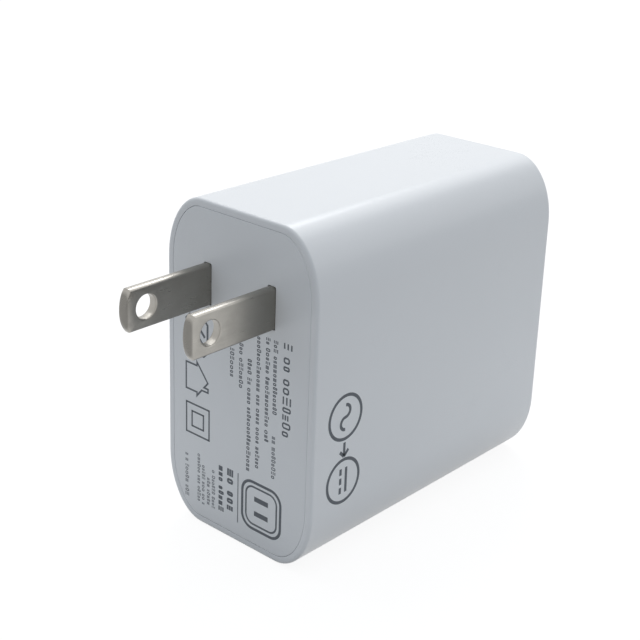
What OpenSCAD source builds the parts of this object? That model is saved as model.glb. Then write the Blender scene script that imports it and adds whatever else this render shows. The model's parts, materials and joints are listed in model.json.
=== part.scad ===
// Wall power adapter for a laptop: a moulded housing with two fixed flat blades on one end, one
// USB-C socket on the other, and the converter inside. It stands on its narrow side: +Z is up,
// the wall lies towards -Y, and the origin is on the plug face, midway between the blades.

/* [Housing] */
// Width of the housing, across the two blades
housing_width = 29.8; // [27:0.1:34]
// Depth of the housing, from the plug face to the port face
housing_depth = 56.3; // [51:0.1:66]
// Height of the housing as it stands
housing_height = 52.1; // [47:0.1:60]
// Reach of each long corner's rounding across the width
corner_across = 7; // [6:0.1:8.5]
// Reach of each long corner's rounding along the height
corner_along = 10.3; // [8:0.1:12]
// Thickness of the side walls
wall = 2; // [1.7:0.1:2.3]
// Thickness of the wall round the socket
end_wall = 2.2; // [1.8:0.1:3]
// Rounding of the edge round the plug face
plug_edge = 0.5; // [0.3:0.05:0.8]
// Rounding of the edge round the port face
port_edge = 1; // [0.5:0.1:1.6]

/* [Plug cover] */
// Width of the housing's rim round the plug cover
rim = 1.1; // [0.9:0.05:1.5]
// Thickness of the cover plate
cover_thickness = 1.8; // [1.4:0.1:2.4]
// Rounding of the cover's outer edge
cover_edge = 0.15; // [0.1:0.05:0.3]
// How far the cover's skirt reaches into the housing
skirt_depth = 3.4; // [2:0.1:4]
// Thickness of the cover's skirt
skirt_wall = 1.2; // [0.8:0.1:1.5]
// Radius of the two posts that hold the blade retainer
post_radius = 0.9; // [0.7:0.05:1.1]
// Distance between the two posts
post_spacing = 7; // [6.4:0.1:8]
// Width of the ribs that hold the main board's front and back edges
rib_width = 1.8; // [1.4:0.1:2.4]
// How far these ribs reach over the board's edges
rib_overlap = 2.4; // [1.5:0.1:2.6]
// Thickness of these ribs on each side of the board
rib_lip = 0.8; // [0.6:0.1:1]
// Wall thickness of the seats round the blades' shoulders
seat_wall = 1; // [0.8:0.1:1.3]

/* [Blades] */
// Distance between the middles of the two blades
blade_spacing = 12.7; // [12.5:0.1:12.9]
// Width of a blade
blade_width = 6.35; // [6.2:0.05:6.5]
// Thickness of a blade
blade_thickness = 1.5; // [1.4:0.05:1.6]
// How far the blades stand out of the plug face
blade_reach = 16.1; // [15.9:0.1:18.3]
// Depth of the blades' axis below the top of the housing
blade_depth = 12.4; // [11.2:0.1:14]
// Rounding of a blade's long edges
blade_edge = 0.25; // [0.1:0.05:0.4]
// Radius of a blade's round tip
tip_radius = 5; // [4:0.1:6.5]
// Length of the tapered flats at the tip
tip_taper = 0.9; // [0.6:0.1:1.6]
// Thickness left at the very tip
tip_thickness = 0.9; // [0.6:0.1:1.2]
// Diameter of the hole through each blade
hole_diameter = 3.6; // [3:0.1:4]
// Distance from the plug face to the middle of the hole
hole_reach = 12.1; // [11.7:0.1:12.3]
// Width of the bevel round both mouths of the hole
hole_bevel = 0.15; // [0.1:0.05:0.3]
// Width of the shoulders that stop a blade behind the cover plate
shoulder_width = 8.4; // [7.6:0.1:9]
// Thickness of these shoulders along the blade
shoulder_depth = 1.8; // [1.2:0.1:2.4]
// Width of the tail that carries the current inwards
tail_width = 4; // [3:0.1:5]
// Length of the tail behind the shoulders
tail_length = 5; // [4.6:0.1:5.4]
// Thickness of the plate that clamps the shoulders
retainer_thickness = 2.2; // [1.6:0.1:2.6]
// Thickness of the contact springs
spring_thickness = 0.3; // [0.2:0.05:0.4]
// Width of the contact springs
spring_width = 3.2; // [2.4:0.1:3.8]
// Length of a contact spring's foot on the main board
spring_foot = 2; // [1.4:0.1:2.6]
// Room between the blades' tails and what lies behind them
tail_gap = 0.6; // [0.4:0.1:1]
// Room between one contact spring and what lies behind it
spring_gap = 0.8; // [0.5:0.1:1.2]
// How far the retainer reaches past the blades on each side
retainer_wing = 2.2; // [1.6:0.1:2.6]
// How far the retainer reaches above and below the shoulders
retainer_margin = 1; // [0.8:0.1:1.2]

/* [USB-C socket] */
// Width of the socket's metal shell, along the housing's height
socket_width = 8.94; // [8.8:0.02:9.1]
// Thickness of the socket's metal shell, across the housing
socket_height = 3.26; // [3.2:0.02:3.4]
// Sheet thickness of the socket's shell
socket_sheet = 0.3; // [0.2:0.02:0.35]
// Length of the socket's shell in front of its board
socket_length = 7.8; // [7:0.1:8.6]
// How far the shell's mouth lies behind the port face
socket_recess = 0.2; // [0:0.05:0.6]
// Width of the tongue
tongue_width = 6.69; // [6.5:0.01:6.8]
// Thickness of the tongue
tongue_thickness = 0.7; // [0.6:0.02:0.8]
// How far the tongue's tip lies behind the shell's mouth
tongue_recess = 1.1; // [0.8:0.1:1.6]
// Thickness of the insulating block that fills the back of the shell
tongue_root = 1.6; // [1.2:0.1:2.2]
// Contacts on each side of the tongue
contact_count = 12; // [6:6:12]
// Distance from contact to contact
contact_pitch = 0.5; // [0.48:0.01:0.52]
// Width of a contact
contact_width = 0.25; // [0.2:0.01:0.3]
// Thickness of a contact
contact_thickness = 0.08; // [0.05:0.01:0.1]
// Length of a contact
contact_length = 3.6; // [3:0.1:4]

/* [Boards and sheets] */
// Thickness of the main circuit board
board_thickness = 1.6; // [1:0.1:1.8]
// Room between the main board's solder side and the heat spreader
solder_room = 2.3; // [2.1:0.1:2.6]
// Gap between the board's ends and the parts before and behind it
board_end_gap = 0.6; // [0.4:0.1:1.2]
// Thickness of the socket's upright board
port_board_thickness = 1; // [0.8:0.1:1.2]
// Height of the socket's upright board along the housing
port_board_span = 18; // [14:0.5:19]
// How far the upright board stands up from the main board
port_board_rise = 16; // [13:0.5:18]
// Width of the two tabs that the upright board stands on
port_tab_width = 3; // [2:0.1:4]
// Thickness of the heat spreader
spreader_thickness = 0.5; // [0.3:0.05:0.8]
// Thickness of the insulating film round the heat spreader
film_thickness = 0.25; // [0.15:0.05:0.4]
// Height of the open top edges of the heat spreader above the blades' axis
spreader_top = 3; // [-2:0.5:4]
// Thickness of the insulating sheet beside the transformer
barrier_thickness = 0.4; // [0.3:0.05:0.6]

/* [Input parts] */
// Length of the fuse
fuse_length = 8.4; // [7:0.1:8.6]
// Width of the fuse
fuse_width = 4; // [3:0.1:4.3]
// Height of the fuse
fuse_height = 7.7; // [6:0.1:9]
// Diameter of the surge protector's disc
varistor_diameter = 8.4; // [7:0.1:9]
// Thickness of the surge protector's disc
varistor_thickness = 3.4; // [2.6:0.1:3.6]
// Diameter of the inrush limiter's disc
thermistor_diameter = 8; // [6:0.1:8.4]
// Thickness of the inrush limiter's disc
thermistor_thickness = 3.4; // [2.6:0.1:3.5]
// Outer diameter of the choke's ring core
choke_outer = 12.6; // [11.2:0.1:13]
// Inner diameter of the choke's ring core
choke_inner = 7.4; // [7:0.1:8]
// Height of the choke's ring core
choke_height = 5.6; // [4:0.1:7]
// Diameter of the choke's wire
choke_wire = 0.8; // [0.6:0.05:0.9]
// Thickness of the plate that the choke stands on
choke_base_thickness = 1.2; // [0.8:0.1:2]
// Length of the interference capacitor's box
x_capacitor_length = 13; // [10:0.1:14.4]
// Width of the interference capacitor's box
x_capacitor_width = 6; // [5:0.1:6.6]
// Height of the interference capacitor's box
x_capacitor_height = 12; // [9:0.1:14]
// Length of the bridge rectifier
bridge_length = 14.4; // [13:0.1:15.6]
// Thickness of the bridge rectifier
bridge_thickness = 3.4; // [3:0.1:3.6]
// Height of the bridge rectifier
bridge_height = 10.6; // [8:0.1:12]
// Distance from lead to lead of the bridge rectifier
bridge_pitch = 3.81; // [3.6:0.01:4]
// Gap between the bridge rectifier and the interference capacitor
bridge_gap = 0.6; // [0.4:0.1:0.8]
// Diameter of a bulk capacitor
bulk_diameter = 10; // [8:0.1:10.8]
// Height of a bulk capacitor
bulk_height = 16; // [14:0.1:18]

/* [Transformer and output parts] */
// Length of the transformer's core
core_length = 19; // [18.2:0.1:20.6]
// Width of the transformer's core
core_width = 12.8; // [12:0.1:14]
// Height of one half of the transformer's core
core_half_height = 7.2; // [6.6:0.1:7.8]
// Thickness of the core's back
core_back = 2.2; // [1.8:0.1:2.6]
// Radius of the core's round middle post
core_post = 4; // [3.6:0.1:4.2]
// Radius of the core's winding window
core_window = 8.2; // [8.1:0.05:8.5]
// Wall thickness of the transformer's bobbin
bobbin_wall = 0.6; // [0.5:0.05:0.8]
// Length of the bobbin's two pin rails
pin_rail_length = 13; // [12.4:0.1:14]
// Width of a pin rail
pin_rail_width = 2; // [1.6:0.1:2.4]
// Gap between the core and the pin rails
pin_rail_gap = 0.2; // [0.1:0.05:0.4]
// Distance from pin to pin along a rail
pin_pitch = 3.6; // [3:0.1:3.8]
// Diameter of the output capacitors
output_capacitor_diameter = 8; // [6.3:0.1:8.2]
// Height of the output capacitors
output_capacitor_height = 12; // [8:0.1:14]
// Diameter of the safety capacitor's disc
y_capacitor_diameter = 8; // [6:0.1:8.5]
// Thickness of the safety capacitor's disc
y_capacitor_thickness = 3.6; // [3:0.1:4]
// Diameter of the parts' leads
lead_diameter = 0.6; // [0.4:0.05:0.8]
// How far the leads stand out on the solder side
lead_stub = 0.8; // [0.5:0.1:0.9]
// Distance between the two leads of the fuse and of the discs
lead_pitch = 5; // [4.4:0.1:5.4]
// Distance between the two leads of an electrolytic capacitor
can_pitch = 3.5; // [3:0.1:4]

/* [Chips on the solder side] */
// Length and width of the power switch
switch_size = 8; // [7:0.1:8.6]
// Height of the power switch
switch_height = 0.9; // [0.7:0.05:1.1]
// Length of the power controller
controller_length = 5; // [4:0.1:5.4]
// Width of the power controller
controller_width = 3.9; // [3.4:0.1:4.4]
// Height of the power controller
controller_height = 1.4; // [1:0.1:1.6]
// Length of the optocoupler
optocoupler_length = 4.6; // [4:0.1:5.2]
// Width of the optocoupler
optocoupler_width = 6.2; // [5.6:0.1:7]
// Height of the optocoupler
optocoupler_height = 1.9; // [1.6:0.1:2.05]
// Length of the rectifying switch
rectifier_length = 5; // [4.4:0.1:5.6]
// Width of the rectifying switch
rectifier_width = 6; // [5.4:0.1:6.6]
// Height of the rectifying switch
rectifier_height = 1; // [0.8:0.05:1.1]
// Length of a small chip part
chip_part_length = 1.6; // [1.2:0.1:2]
// Spacing of the small chip parts
chip_part_spacing = 2.6; // [1.6:0.1:3]
// How far a thermal pad reaches past the chip that it cools
pad_margin = 1.5; // [0.5:0.1:2]

/* [Fits] */
// Gap between the plug cover's edge and the housing's rim
seam_gap = 0.1; // [0.05:0.01:0.15]
// Gap between pieces that slide into one another
slip_gap = 0.1; // [0.05:0.01:0.15]
// Gap round each lead in its hole
lead_gap = 0.1; // [0.08:0.01:0.15]
// Gap between the socket's shell and the housing
socket_gap = 0.15; // [0.1:0.01:0.25]

/* [Hidden] */
$fn = 64;
corner_steps = 24; // straight steps in each long corner
edge_steps = 5; // straight steps in each rounded end edge
cut = 1; // how far a cutting solid runs past the face it cuts

// The housing's own places
foot = blade_depth - housing_height;
middle = foot + housing_height / 2;
half_width = housing_width / 2;
half_height = housing_height / 2;
end_inside = housing_depth - end_wall;

// The nested sheets inside the housing, each given by its inset from the housing's outside
film_inset = wall + slip_gap;
spreader_inset = film_inset + film_thickness + slip_gap;
room_inset = spreader_inset + spreader_thickness;
sheets_front = cover_thickness + skirt_depth + slip_gap;
sheets_back = end_inside - slip_gap;

// Blades, the plate that clamps them, and the contact springs behind them
blade_x = blade_spacing / 2;
tail_start = cover_thickness + shoulder_depth;
tail_end = tail_start + tail_length;
retainer_back = tail_start + retainer_thickness;
retainer_half = shoulder_width / 2 + retainer_margin;
post_head_radius = post_radius + 0.6;
spring_start = retainer_back + tail_gap;
left_riser = tail_end + tail_gap;
right_riser = left_riser + spring_foot + spring_gap;

// The main board stands upright along the left wall, with its parts towards +X
board_back = -(half_width - room_inset) + solder_room;
board_face = board_back + board_thickness;
board_half_span = half_span_at(board_back, room_inset) - 0.4;
board_low = middle - board_half_span;
board_high = middle + board_half_span;
board_front = retainer_back + board_end_gap;
board_end = end_inside - board_end_gap;

// The socket and its upright board
socket_mouth = housing_depth - socket_recess;
port_board_face = socket_mouth - socket_length;
port_board_back = port_board_face - port_board_thickness;
port_board_top = board_face + port_board_rise;
port_tabs = [for (side = [-1, 1]) middle + side * (port_board_span / 2 - port_tab_width)];

// Sum of the first count numbers in a list
function total(list, count) = count == 0 ? 0 : list[count - 1] + total(list, count - 1);

// Middle of item i, where items of the given sizes stand in a row with equal gaps
function in_row(from, to, sizes, i) =
    let (gap = (to - from - total(sizes, len(sizes))) / (len(sizes) + 1))
    from + (i + 1) * gap + total(sizes, i) + sizes[i] / 2;

// Three rows of parts along the main board, one above the other
choke_across = choke_outer + 2 * choke_wire;
lower_width = max(bulk_diameter, bridge_thickness + bridge_gap + x_capacitor_width);
middle_width = max(choke_across, core_width + 2 * (pin_rail_gap + pin_rail_width));
upper_width = max(fuse_length, varistor_diameter, thermistor_diameter,
    output_capacitor_diameter);
row_widths = [lower_width, middle_width, upper_width];
lower_row = in_row(board_low, board_high, row_widths, 0);
middle_row = in_row(board_low, board_high, row_widths, 1);
upper_row = in_row(board_low, board_high, row_widths, 2);
below_middle = (lower_row + lower_width / 2 + middle_row - middle_width / 2) / 2;
above_middle = (middle_row + middle_width / 2 + upper_row - upper_width / 2) / 2;

// Upper row, behind the contact springs: input protection, then the output capacitors
upper_items = [fuse_width, varistor_thickness, thermistor_thickness,
    output_capacitor_diameter, output_capacitor_diameter];
upper_start = right_riser + spring_foot + spring_gap;
function upper_at(i) =
    [in_row(upper_start, board_end - rib_overlap, upper_items, i), upper_row];
fuse_at = upper_at(0);
varistor_at = upper_at(1);
thermistor_at = upper_at(2);
output_capacitor_front_at = upper_at(3);
output_capacitor_back_at = upper_at(4);

// Middle row, up to the socket's board: the choke and the transformer
function middle_at(i) =
    [in_row(board_front, port_board_back, [choke_across, core_length], i), middle_row];
choke_at = middle_at(0);
transformer_at = middle_at(1);

// Lower row: the bridge rectifier under the interference capacitor, then three capacitors
lower_items = [max(bridge_length, x_capacitor_length), bulk_diameter, bulk_diameter,
    y_capacitor_thickness];
function lower_at(i) = [in_row(board_front, board_end, lower_items, i), lower_row];
bridge_at = lower_at(0) - [0, (lower_width - bridge_thickness) / 2];
x_capacitor_at = lower_at(0) + [0, (lower_width - x_capacitor_width) / 2];
bulk_front_at = lower_at(1);
bulk_back_at = lower_at(2);
y_capacitor_at = lower_at(3);

// Ribs that hold the main board at its front and back edges, as heights
front_ribs = [retainer_half + slip_gap + 0.2 + rib_width / 2, middle_row - choke_across / 2];
back_ribs = [board_high - 5, below_middle];

// Leads through the board, as places about the middle of each part
disc_skew = 0.6;
fuse_leads = [for (end = [-1, 1]) [0, end * lead_pitch / 2]];
disc_leads = [for (end = [-1, 1]) [-end * disc_skew, end * lead_pitch / 2]];
choke_leads = [for (y = [-1, 1], z = [-1, 1]) 0.365 * choke_outer * [y, z]];
x_capacitor_leads = [for (end = [-1, 1]) [end * (x_capacitor_length / 2 - 1.5), 0]];
bridge_leads = [for (i = [0:3]) [(i - 1.5) * bridge_pitch, 0]];
can_leads = [for (end = [-1, 1]) [0, end * can_pitch / 2]];
pin_row = core_width / 2 + pin_rail_gap + pin_rail_width / 2;
transformer_pins = [for (z = [-1, 1], i = [0:3]) [(i - 1.5) * pin_pitch, z * pin_row]];

// Chips on the solder side, clear of the leads that come through the board
leg_reach = 0.6;
controller_at = choke_at;
power_switch_at = [choke_at[0] + choke_leads[2][0] + switch_size / 2 + 0.6, middle_row];
sync_rectifier_at = [transformer_at[0] + core_length / 4, middle_row];
optocoupler_at = [(bulk_front_at[0] + bulk_back_at[0]) / 2,
    lower_row + (lower_width - optocoupler_width) / 2 - leg_reach - 0.6];

// Half height of the housing's outline, set in by inset, at distance x from its middle
function half_span_at(x, inset) =
    let (into = max(0, abs(x) - (half_width - corner_across)) / (corner_across - inset))
    half_height - inset - (corner_along - inset) * (1 - sqrt(1 - into * into));

// The housing's outline seen from the wall, set in by inset: four elliptical corners
function outline_points(inset) =
    let (rx = corner_across - inset, rz = corner_along - inset)
    [for (corner = [0:3], step = [0:corner_steps])
        let (
            angle = 90 * (corner + step / corner_steps),
            side_x = (corner == 0 || corner == 3) ? 1 : -1,
            side_z = (corner < 2) ? 1 : -1
        )
        [
            side_x * (half_width - corner_across) + rx * cos(angle),
            middle + side_z * (half_height - corner_along) + rz * sin(angle)
        ]];

module outline(inset) {
    polygon(outline_points(inset));
}

// Extrudes an outline drawn in X and Z from Y = from to Y = to
module along_y(from, to) {
    translate([0, to, 0])
        rotate([90, 0, 0])
            linear_extrude(to - from) children();
}

// Extrudes an outline drawn in X and Y from Z = from to Z = to
module along_z(from, to) {
    translate([0, 0, from]) linear_extrude(to - from) children();
}

// Stations [y, inset] of a rounded edge, from its end face to its side
function front_edge(y, inset, radius) =
    [for (i = [0:edge_steps])
        let (a = 90 * i / edge_steps)
        [y + radius * (1 - cos(a)), inset + radius * (1 - sin(a))]];
function back_edge(y, inset, radius) =
    [for (i = [edge_steps:-1:0])
        let (a = 90 * i / edge_steps)
        [y - radius * (1 - cos(a)), inset + radius * (1 - sin(a))]];

// A solid lofted through the housing's outline at a list of stations [y, inset]
module loft(stations) {
    count = 4 * (corner_steps + 1);
    last = len(stations) - 1;
    points = [for (s = stations, p = outline_points(s[1])) [p[0], s[0], p[1]]];
    sides = [for (ring = [0:last - 1], i = [0:count - 1])
        let (
            here = ring * count + i,
            beside = ring * count + (i + 1) % count
        )
        each [[here, beside, beside + count], [here, beside + count, here + count]]];
    front = [for (i = [count - 1:-1:0]) i];
    back = [for (i = [0:count - 1]) last * count + i];
    polyhedron(points, concat([front, back], sides), convexity = 4);
}

// Puts a part that is drawn standing on Z = 0 onto the main board's face, at [y, z]
module on_board(at) {
    translate([board_face, at[0], at[1]])
        rotate([90, 0, 90]) children();
}

// The same for the solder side
module under_board(at) {
    translate([board_back, at[0], at[1]])
        rotate([90, 0, 90])
            mirror([0, 0, 1]) children();
}

// Round leads that run down through the board from Z = 0
module leads(places) {
    for (p = places)
        translate([p[0], p[1], -board_thickness - lead_stub])
            cylinder(r = lead_diameter / 2, h = board_thickness + lead_stub + 0.2);
}

module lead_holes(at, places) {
    for (p = places)
        translate([board_back - cut, at[0] + p[0], at[1] + p[1]])
            rotate([0, 90, 0])
                cylinder(r = lead_diameter / 2 + lead_gap, h = board_thickness + 2 * cut);
}

// A slot with round ends, its length along the second axis
module obround(width, length) {
    straight = length - width;
    square([width, straight], center = true);
    for (side = [-1, 1])
        translate([0, side * straight / 2]) circle(d = width);
}

// A square bar's section with round edges
module round_bar(width, length, radius) {
    square([width - 2 * radius, length], center = true);
    square([width, length - 2 * radius], center = true);
    for (x = [-1, 1], y = [-1, 1])
        translate([x * (width / 2 - radius), y * (length / 2 - radius)]) circle(r = radius);
}

// ---- Housing ----

// Two ribs that hold an edge of the main board between them
module board_ribs(from, to, heights) {
    for (z = heights)
        along_z(z - rib_width / 2, z + rib_width / 2) {
            translate([board_back - slip_gap - rib_lip, from]) square([rib_lip, to - from]);
            translate([board_face + slip_gap, from]) square([rib_lip, to - from]);
        }
}

module socket_slot(gap) {
    translate([0, middle])
        obround(socket_height + 2 * gap, socket_width + 2 * gap);
}

module housing_shell() {
    color("white") {
        difference() {
            loft(concat(front_edge(0, 0, plug_edge), back_edge(housing_depth, 0, port_edge)));
            along_y(-cut, cover_thickness) outline(rim);
            along_y(cover_thickness - 0.1, end_inside) outline(wall);
            along_y(end_inside - cut, housing_depth + cut) socket_slot(socket_gap);
        }
        board_ribs(board_end - rib_overlap, end_inside + 0.2, back_ribs);
    }
}

module plug_cover() {
    color("whitesmoke") difference() {
        union() {
            loft(concat(
                front_edge(0, rim + seam_gap, cover_edge),
                [[cover_thickness, rim + seam_gap]]
            ));
            along_y(cover_thickness - 0.2, cover_thickness + skirt_depth) difference() {
                outline(wall + slip_gap);
                outline(wall + slip_gap + skirt_wall);
            }
            // Seats round the blades' shoulders
            for (side = [-1, 1])
                along_y(cover_thickness - 0.2, tail_start)
                    translate([side * blade_x, 0])
                        square([blade_thickness, shoulder_width]
                            + 2 * (slip_gap + seat_wall) * [1, 1], center = true);
            // Posts with riveted heads that hold the retainer
            for (side = [-1, 1])
                translate([0, cover_thickness - 0.2, side * post_spacing / 2])
                    rotate([-90, 0, 0]) {
                        cylinder(r = post_radius + 0.8, h = shoulder_depth + 0.2);
                        cylinder(r = post_radius, h = shoulder_depth + retainer_thickness + 0.7);
                        translate([0, 0, shoulder_depth + retainer_thickness + 0.2])
                            cylinder(r1 = post_head_radius, r2 = post_radius, h = 0.5);
                    }
            board_ribs(cover_thickness - 0.2, board_front + rib_overlap, front_ribs);
        }
        for (side = [-1, 1]) {
            along_y(-cut, tail_start + cut)
                translate([side * blade_x, 0])
                    round_bar(blade_thickness + slip_gap, blade_width + slip_gap, blade_edge);
            along_y(cover_thickness, tail_start + cut)
                translate([side * blade_x, 0])
                    square([blade_thickness, shoulder_width] + 2 * slip_gap * [1, 1], center = true);
        }
    }
}

// ---- Blades and contacts ----

module blade(side) {
    tip = -blade_reach;
    // Distance from the tip at which the round end meets the long edges
    round_end = tip_radius - sqrt(tip_radius * tip_radius - blade_width * blade_width / 4);
    color("lightgray") translate([side * blade_x, 0, 0]) difference() {
        union() {
            intersection() {
                along_y(tip, tail_start) round_bar(blade_thickness, blade_width, blade_edge);
                // Round end, seen from the side
                translate([-blade_thickness, 0, 0]) rotate([90, 0, 90])
                    linear_extrude(2 * blade_thickness) {
                        translate([tip + tip_radius, 0]) circle(r = tip_radius, $fn = 96);
                        translate([tip + round_end, -blade_width])
                            square([tail_start - tip, 2 * blade_width]);
                    }
                // Tapered flats, seen from above
                along_z(-blade_width, blade_width) polygon([
                    [-blade_thickness / 2, tail_start],
                    [-blade_thickness / 2, tip + tip_taper],
                    [-tip_thickness / 2, tip],
                    [tip_thickness / 2, tip],
                    [blade_thickness / 2, tip + tip_taper],
                    [blade_thickness / 2, tail_start]
                ]);
            }
            along_y(cover_thickness, tail_start)
                square([blade_thickness, shoulder_width], center = true);
            along_y(cover_thickness, tail_end)
                square([blade_thickness, tail_width], center = true);
        }
        translate([0, -hole_reach, 0]) rotate([0, 90, 0]) {
            cylinder(d = hole_diameter, h = blade_thickness + 2 * cut, center = true);
            for (end = [0, 1]) mirror([0, 0, end])
                translate([0, 0, blade_thickness / 2 - hole_bevel])
                    cylinder(
                        r1 = hole_diameter / 2,
                        r2 = hole_diameter / 2 + 2 * hole_bevel,
                        h = 2 * hole_bevel
                    );
        }
    }
}

module blade_left() {
    blade(-1);
}

module blade_right() {
    blade(1);
}

module blade_retainer() {
    width = blade_spacing + blade_thickness + 2 * retainer_wing;
    color("dimgray") along_y(tail_start, retainer_back) difference() {
        square([width, 2 * retainer_half], center = true);
        for (side = [-1, 1]) {
            translate([side * blade_x, 0])
                square([blade_thickness, tail_width] + 2 * slip_gap * [1, 1], center = true);
            translate([0, side * post_spacing / 2]) circle(r = post_radius + slip_gap);
        }
    }
}

// A bent strip: up from the main board at Y = riser, then forward along a blade's tail, on the
// side of the tail that faces +X from near
module contact_spring(near, riser) {
    t = spring_thickness;
    color("goldenrod") along_z(-spring_width / 2, spring_width / 2) polygon([
        [near + t, spring_start],
        [near + t, riser + t],
        [board_face + t, riser + t],
        [board_face + t, riser + spring_foot],
        [board_face, riser + spring_foot],
        [board_face, riser],
        [near, riser],
        [near, spring_start]
    ]);
}

module contact_spring_left() {
    contact_spring(-blade_x + blade_thickness / 2, left_riser);
}

module contact_spring_right() {
    contact_spring(blade_x - blade_thickness / 2 - spring_thickness, right_riser);
}

// ---- Sheets round the electronics ----

module insulating_film() {
    color("ivory") along_y(sheets_front, sheets_back) difference() {
        outline(film_inset);
        outline(film_inset + film_thickness);
    }
}

module heat_spreader() {
    color("peru") along_y(sheets_front, sheets_back) difference() {
        outline(spreader_inset);
        outline(room_inset);
        translate([-half_width, spreader_top]) square([housing_width, housing_height]);
    }
}

// A sheet between the bulk capacitors and the transformer
module insulating_barrier() {
    from = bulk_front_at[0] - bulk_diameter / 2;
    to = min(bulk_back_at[0] + bulk_diameter / 2, port_board_back - slip_gap);
    color("lightyellow") on_board([from, below_middle - barrier_thickness / 2])
        cube([to - from, barrier_thickness, bulk_height]);
}

// A soft pad between a chip on the solder side and the heat spreader
module thermal_pad(at, length, width, chip_height) {
    color("mediumpurple") under_board(at)
        translate([-length / 2, -width / 2, chip_height])
            cube([length, width, solder_room - chip_height]);
}

module thermal_pad_input() {
    size = switch_size + 2 * pad_margin;
    thermal_pad(power_switch_at, size, size, switch_height);
}

module thermal_pad_output() {
    thermal_pad(sync_rectifier_at, rectifier_length + 2 * pad_margin,
        rectifier_width + 2 * pad_margin, rectifier_height);
}

// ---- Boards ----

module main_board() {
    color("darkgreen") difference() {
        translate([board_back, board_front, board_low])
            cube([board_thickness, board_end - board_front, board_high - board_low]);
        // Notch round the left blade's tail
        translate([board_back - cut, board_front - cut, -tail_width / 2 - tail_gap])
            cube([board_thickness + 2 * cut, tail_end + tail_gap / 2 - board_front + cut,
                tail_width + 2 * tail_gap]);
        lead_holes(fuse_at, fuse_leads);
        lead_holes(varistor_at, disc_leads);
        lead_holes(thermistor_at, disc_leads);
        lead_holes(choke_at, choke_leads);
        lead_holes(x_capacitor_at, x_capacitor_leads);
        lead_holes(bridge_at, bridge_leads);
        lead_holes(bulk_front_at, can_leads);
        lead_holes(bulk_back_at, can_leads);
        lead_holes(transformer_at, transformer_pins);
        lead_holes(y_capacitor_at, disc_leads);
        lead_holes(output_capacitor_front_at, can_leads);
        lead_holes(output_capacitor_back_at, can_leads);
        for (z = port_tabs)
            translate([board_back - cut, port_board_back - slip_gap,
                z - port_tab_width / 2 - slip_gap])
                cube([board_thickness + 2 * cut, port_board_thickness + 2 * slip_gap,
                    port_tab_width + 2 * slip_gap]);
    }
}

// The socket's legs through its upright board, as [x, z]
shell_legs = [for (z = [-1, 1], x = [-1, 1])
    [x * (socket_height / 2 + 0.2), middle + z * (socket_width / 2 - 2)]];

module port_board() {
    color("darkgreen") difference() {
        along_y(port_board_back, port_board_face) {
            translate([board_face, middle - port_board_span / 2])
                square([port_board_rise, port_board_span]);
            for (z = port_tabs)
                translate([board_back - 0.6, z - port_tab_width / 2])
                    square([board_thickness + 0.7, port_tab_width]);
        }
        for (leg = shell_legs)
            translate([leg[0], port_board_back - cut, leg[1]])
                rotate([-90, 0, 0])
                    cylinder(r = lead_diameter / 2 + lead_gap, h = port_board_thickness + 2 * cut);
    }
}

// ---- Input parts ----

module fuse() {
    color("saddlebrown") on_board(fuse_at) {
        linear_extrude(fuse_height) round_bar(fuse_width, fuse_length, 0.8);
        leads(fuse_leads);
    }
}

// A coated disc standing on its edge, its axis along the board
module coated_disc(diameter, thickness) {
    rounding = thickness / 2 - 0.4;
    stand_off = 0.6;
    translate([0, 0, diameter / 2 + stand_off]) rotate([0, 90, 0])
        rotate_extrude() {
            translate([0, -thickness / 2]) square([diameter / 2 - rounding, thickness]);
            translate([0, -0.4]) square([diameter / 2, 0.8]);
            for (side = [0, 1]) mirror([0, side])
                translate([diameter / 2 - rounding, 0.4]) intersection() {
                    circle(r = rounding);
                    square(rounding);
                }
        }
    for (p = disc_leads)
        translate([p[0], p[1], -board_thickness - lead_stub])
            cylinder(
                r = lead_diameter / 2,
                h = board_thickness + lead_stub + stand_off + diameter / 2 - 1
            );
}

module varistor() {
    color("royalblue") on_board(varistor_at) coated_disc(varistor_diameter, varistor_thickness);
}

module thermistor() {
    color("black") on_board(thermistor_at)
        coated_disc(thermistor_diameter, thermistor_thickness);
}

choke_half = choke_height / 2 + choke_wire + 0.05;

module choke_base() {
    divider = 0.8;
    color("black") on_board(choke_at) {
        cylinder(r = choke_outer / 2 + choke_wire, h = choke_base_thickness);
        translate([-divider / 2, -choke_inner / 2 + 0.2, 0])
            cube([divider, choke_inner - 0.4, choke_base_thickness + 2 * choke_half]);
        leads(choke_leads);
    }
}

module choke_core() {
    color("seagreen") on_board(choke_at)
        translate([0, 0, choke_base_thickness + choke_half - choke_height / 2])
            linear_extrude(choke_height) difference() {
                circle(d = choke_outer);
                circle(d = choke_inner);
            }
}

// One half of the choke's turns: a sleeve round the core's section, over part of its ring
module choke_winding(side) {
    gap = 0.05;
    sweep = 136;
    inner = choke_inner / 2;
    outer = choke_outer / 2;
    half = choke_height / 2;
    color("chocolate") on_board(choke_at)
        translate([0, 0, choke_base_thickness + choke_half])
            rotate([0, 0, side * 90 - sweep / 2])
                rotate_extrude(angle = sweep) difference() {
                    translate([inner - choke_wire, -half - choke_wire])
                        square([outer - inner + 2 * choke_wire, 2 * (half + choke_wire)]);
                    translate([inner - gap, -half - gap])
                        square([outer - inner + 2 * gap, 2 * (half + gap)]);
                }
}

module choke_winding_live() {
    choke_winding(0);
}

module choke_winding_neutral() {
    choke_winding(2);
}

module x_capacitor() {
    color("gold") on_board(x_capacitor_at) {
        linear_extrude(x_capacitor_height)
            round_bar(x_capacitor_length, x_capacitor_width, 0.5);
        leads(x_capacitor_leads);
    }
}

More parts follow.
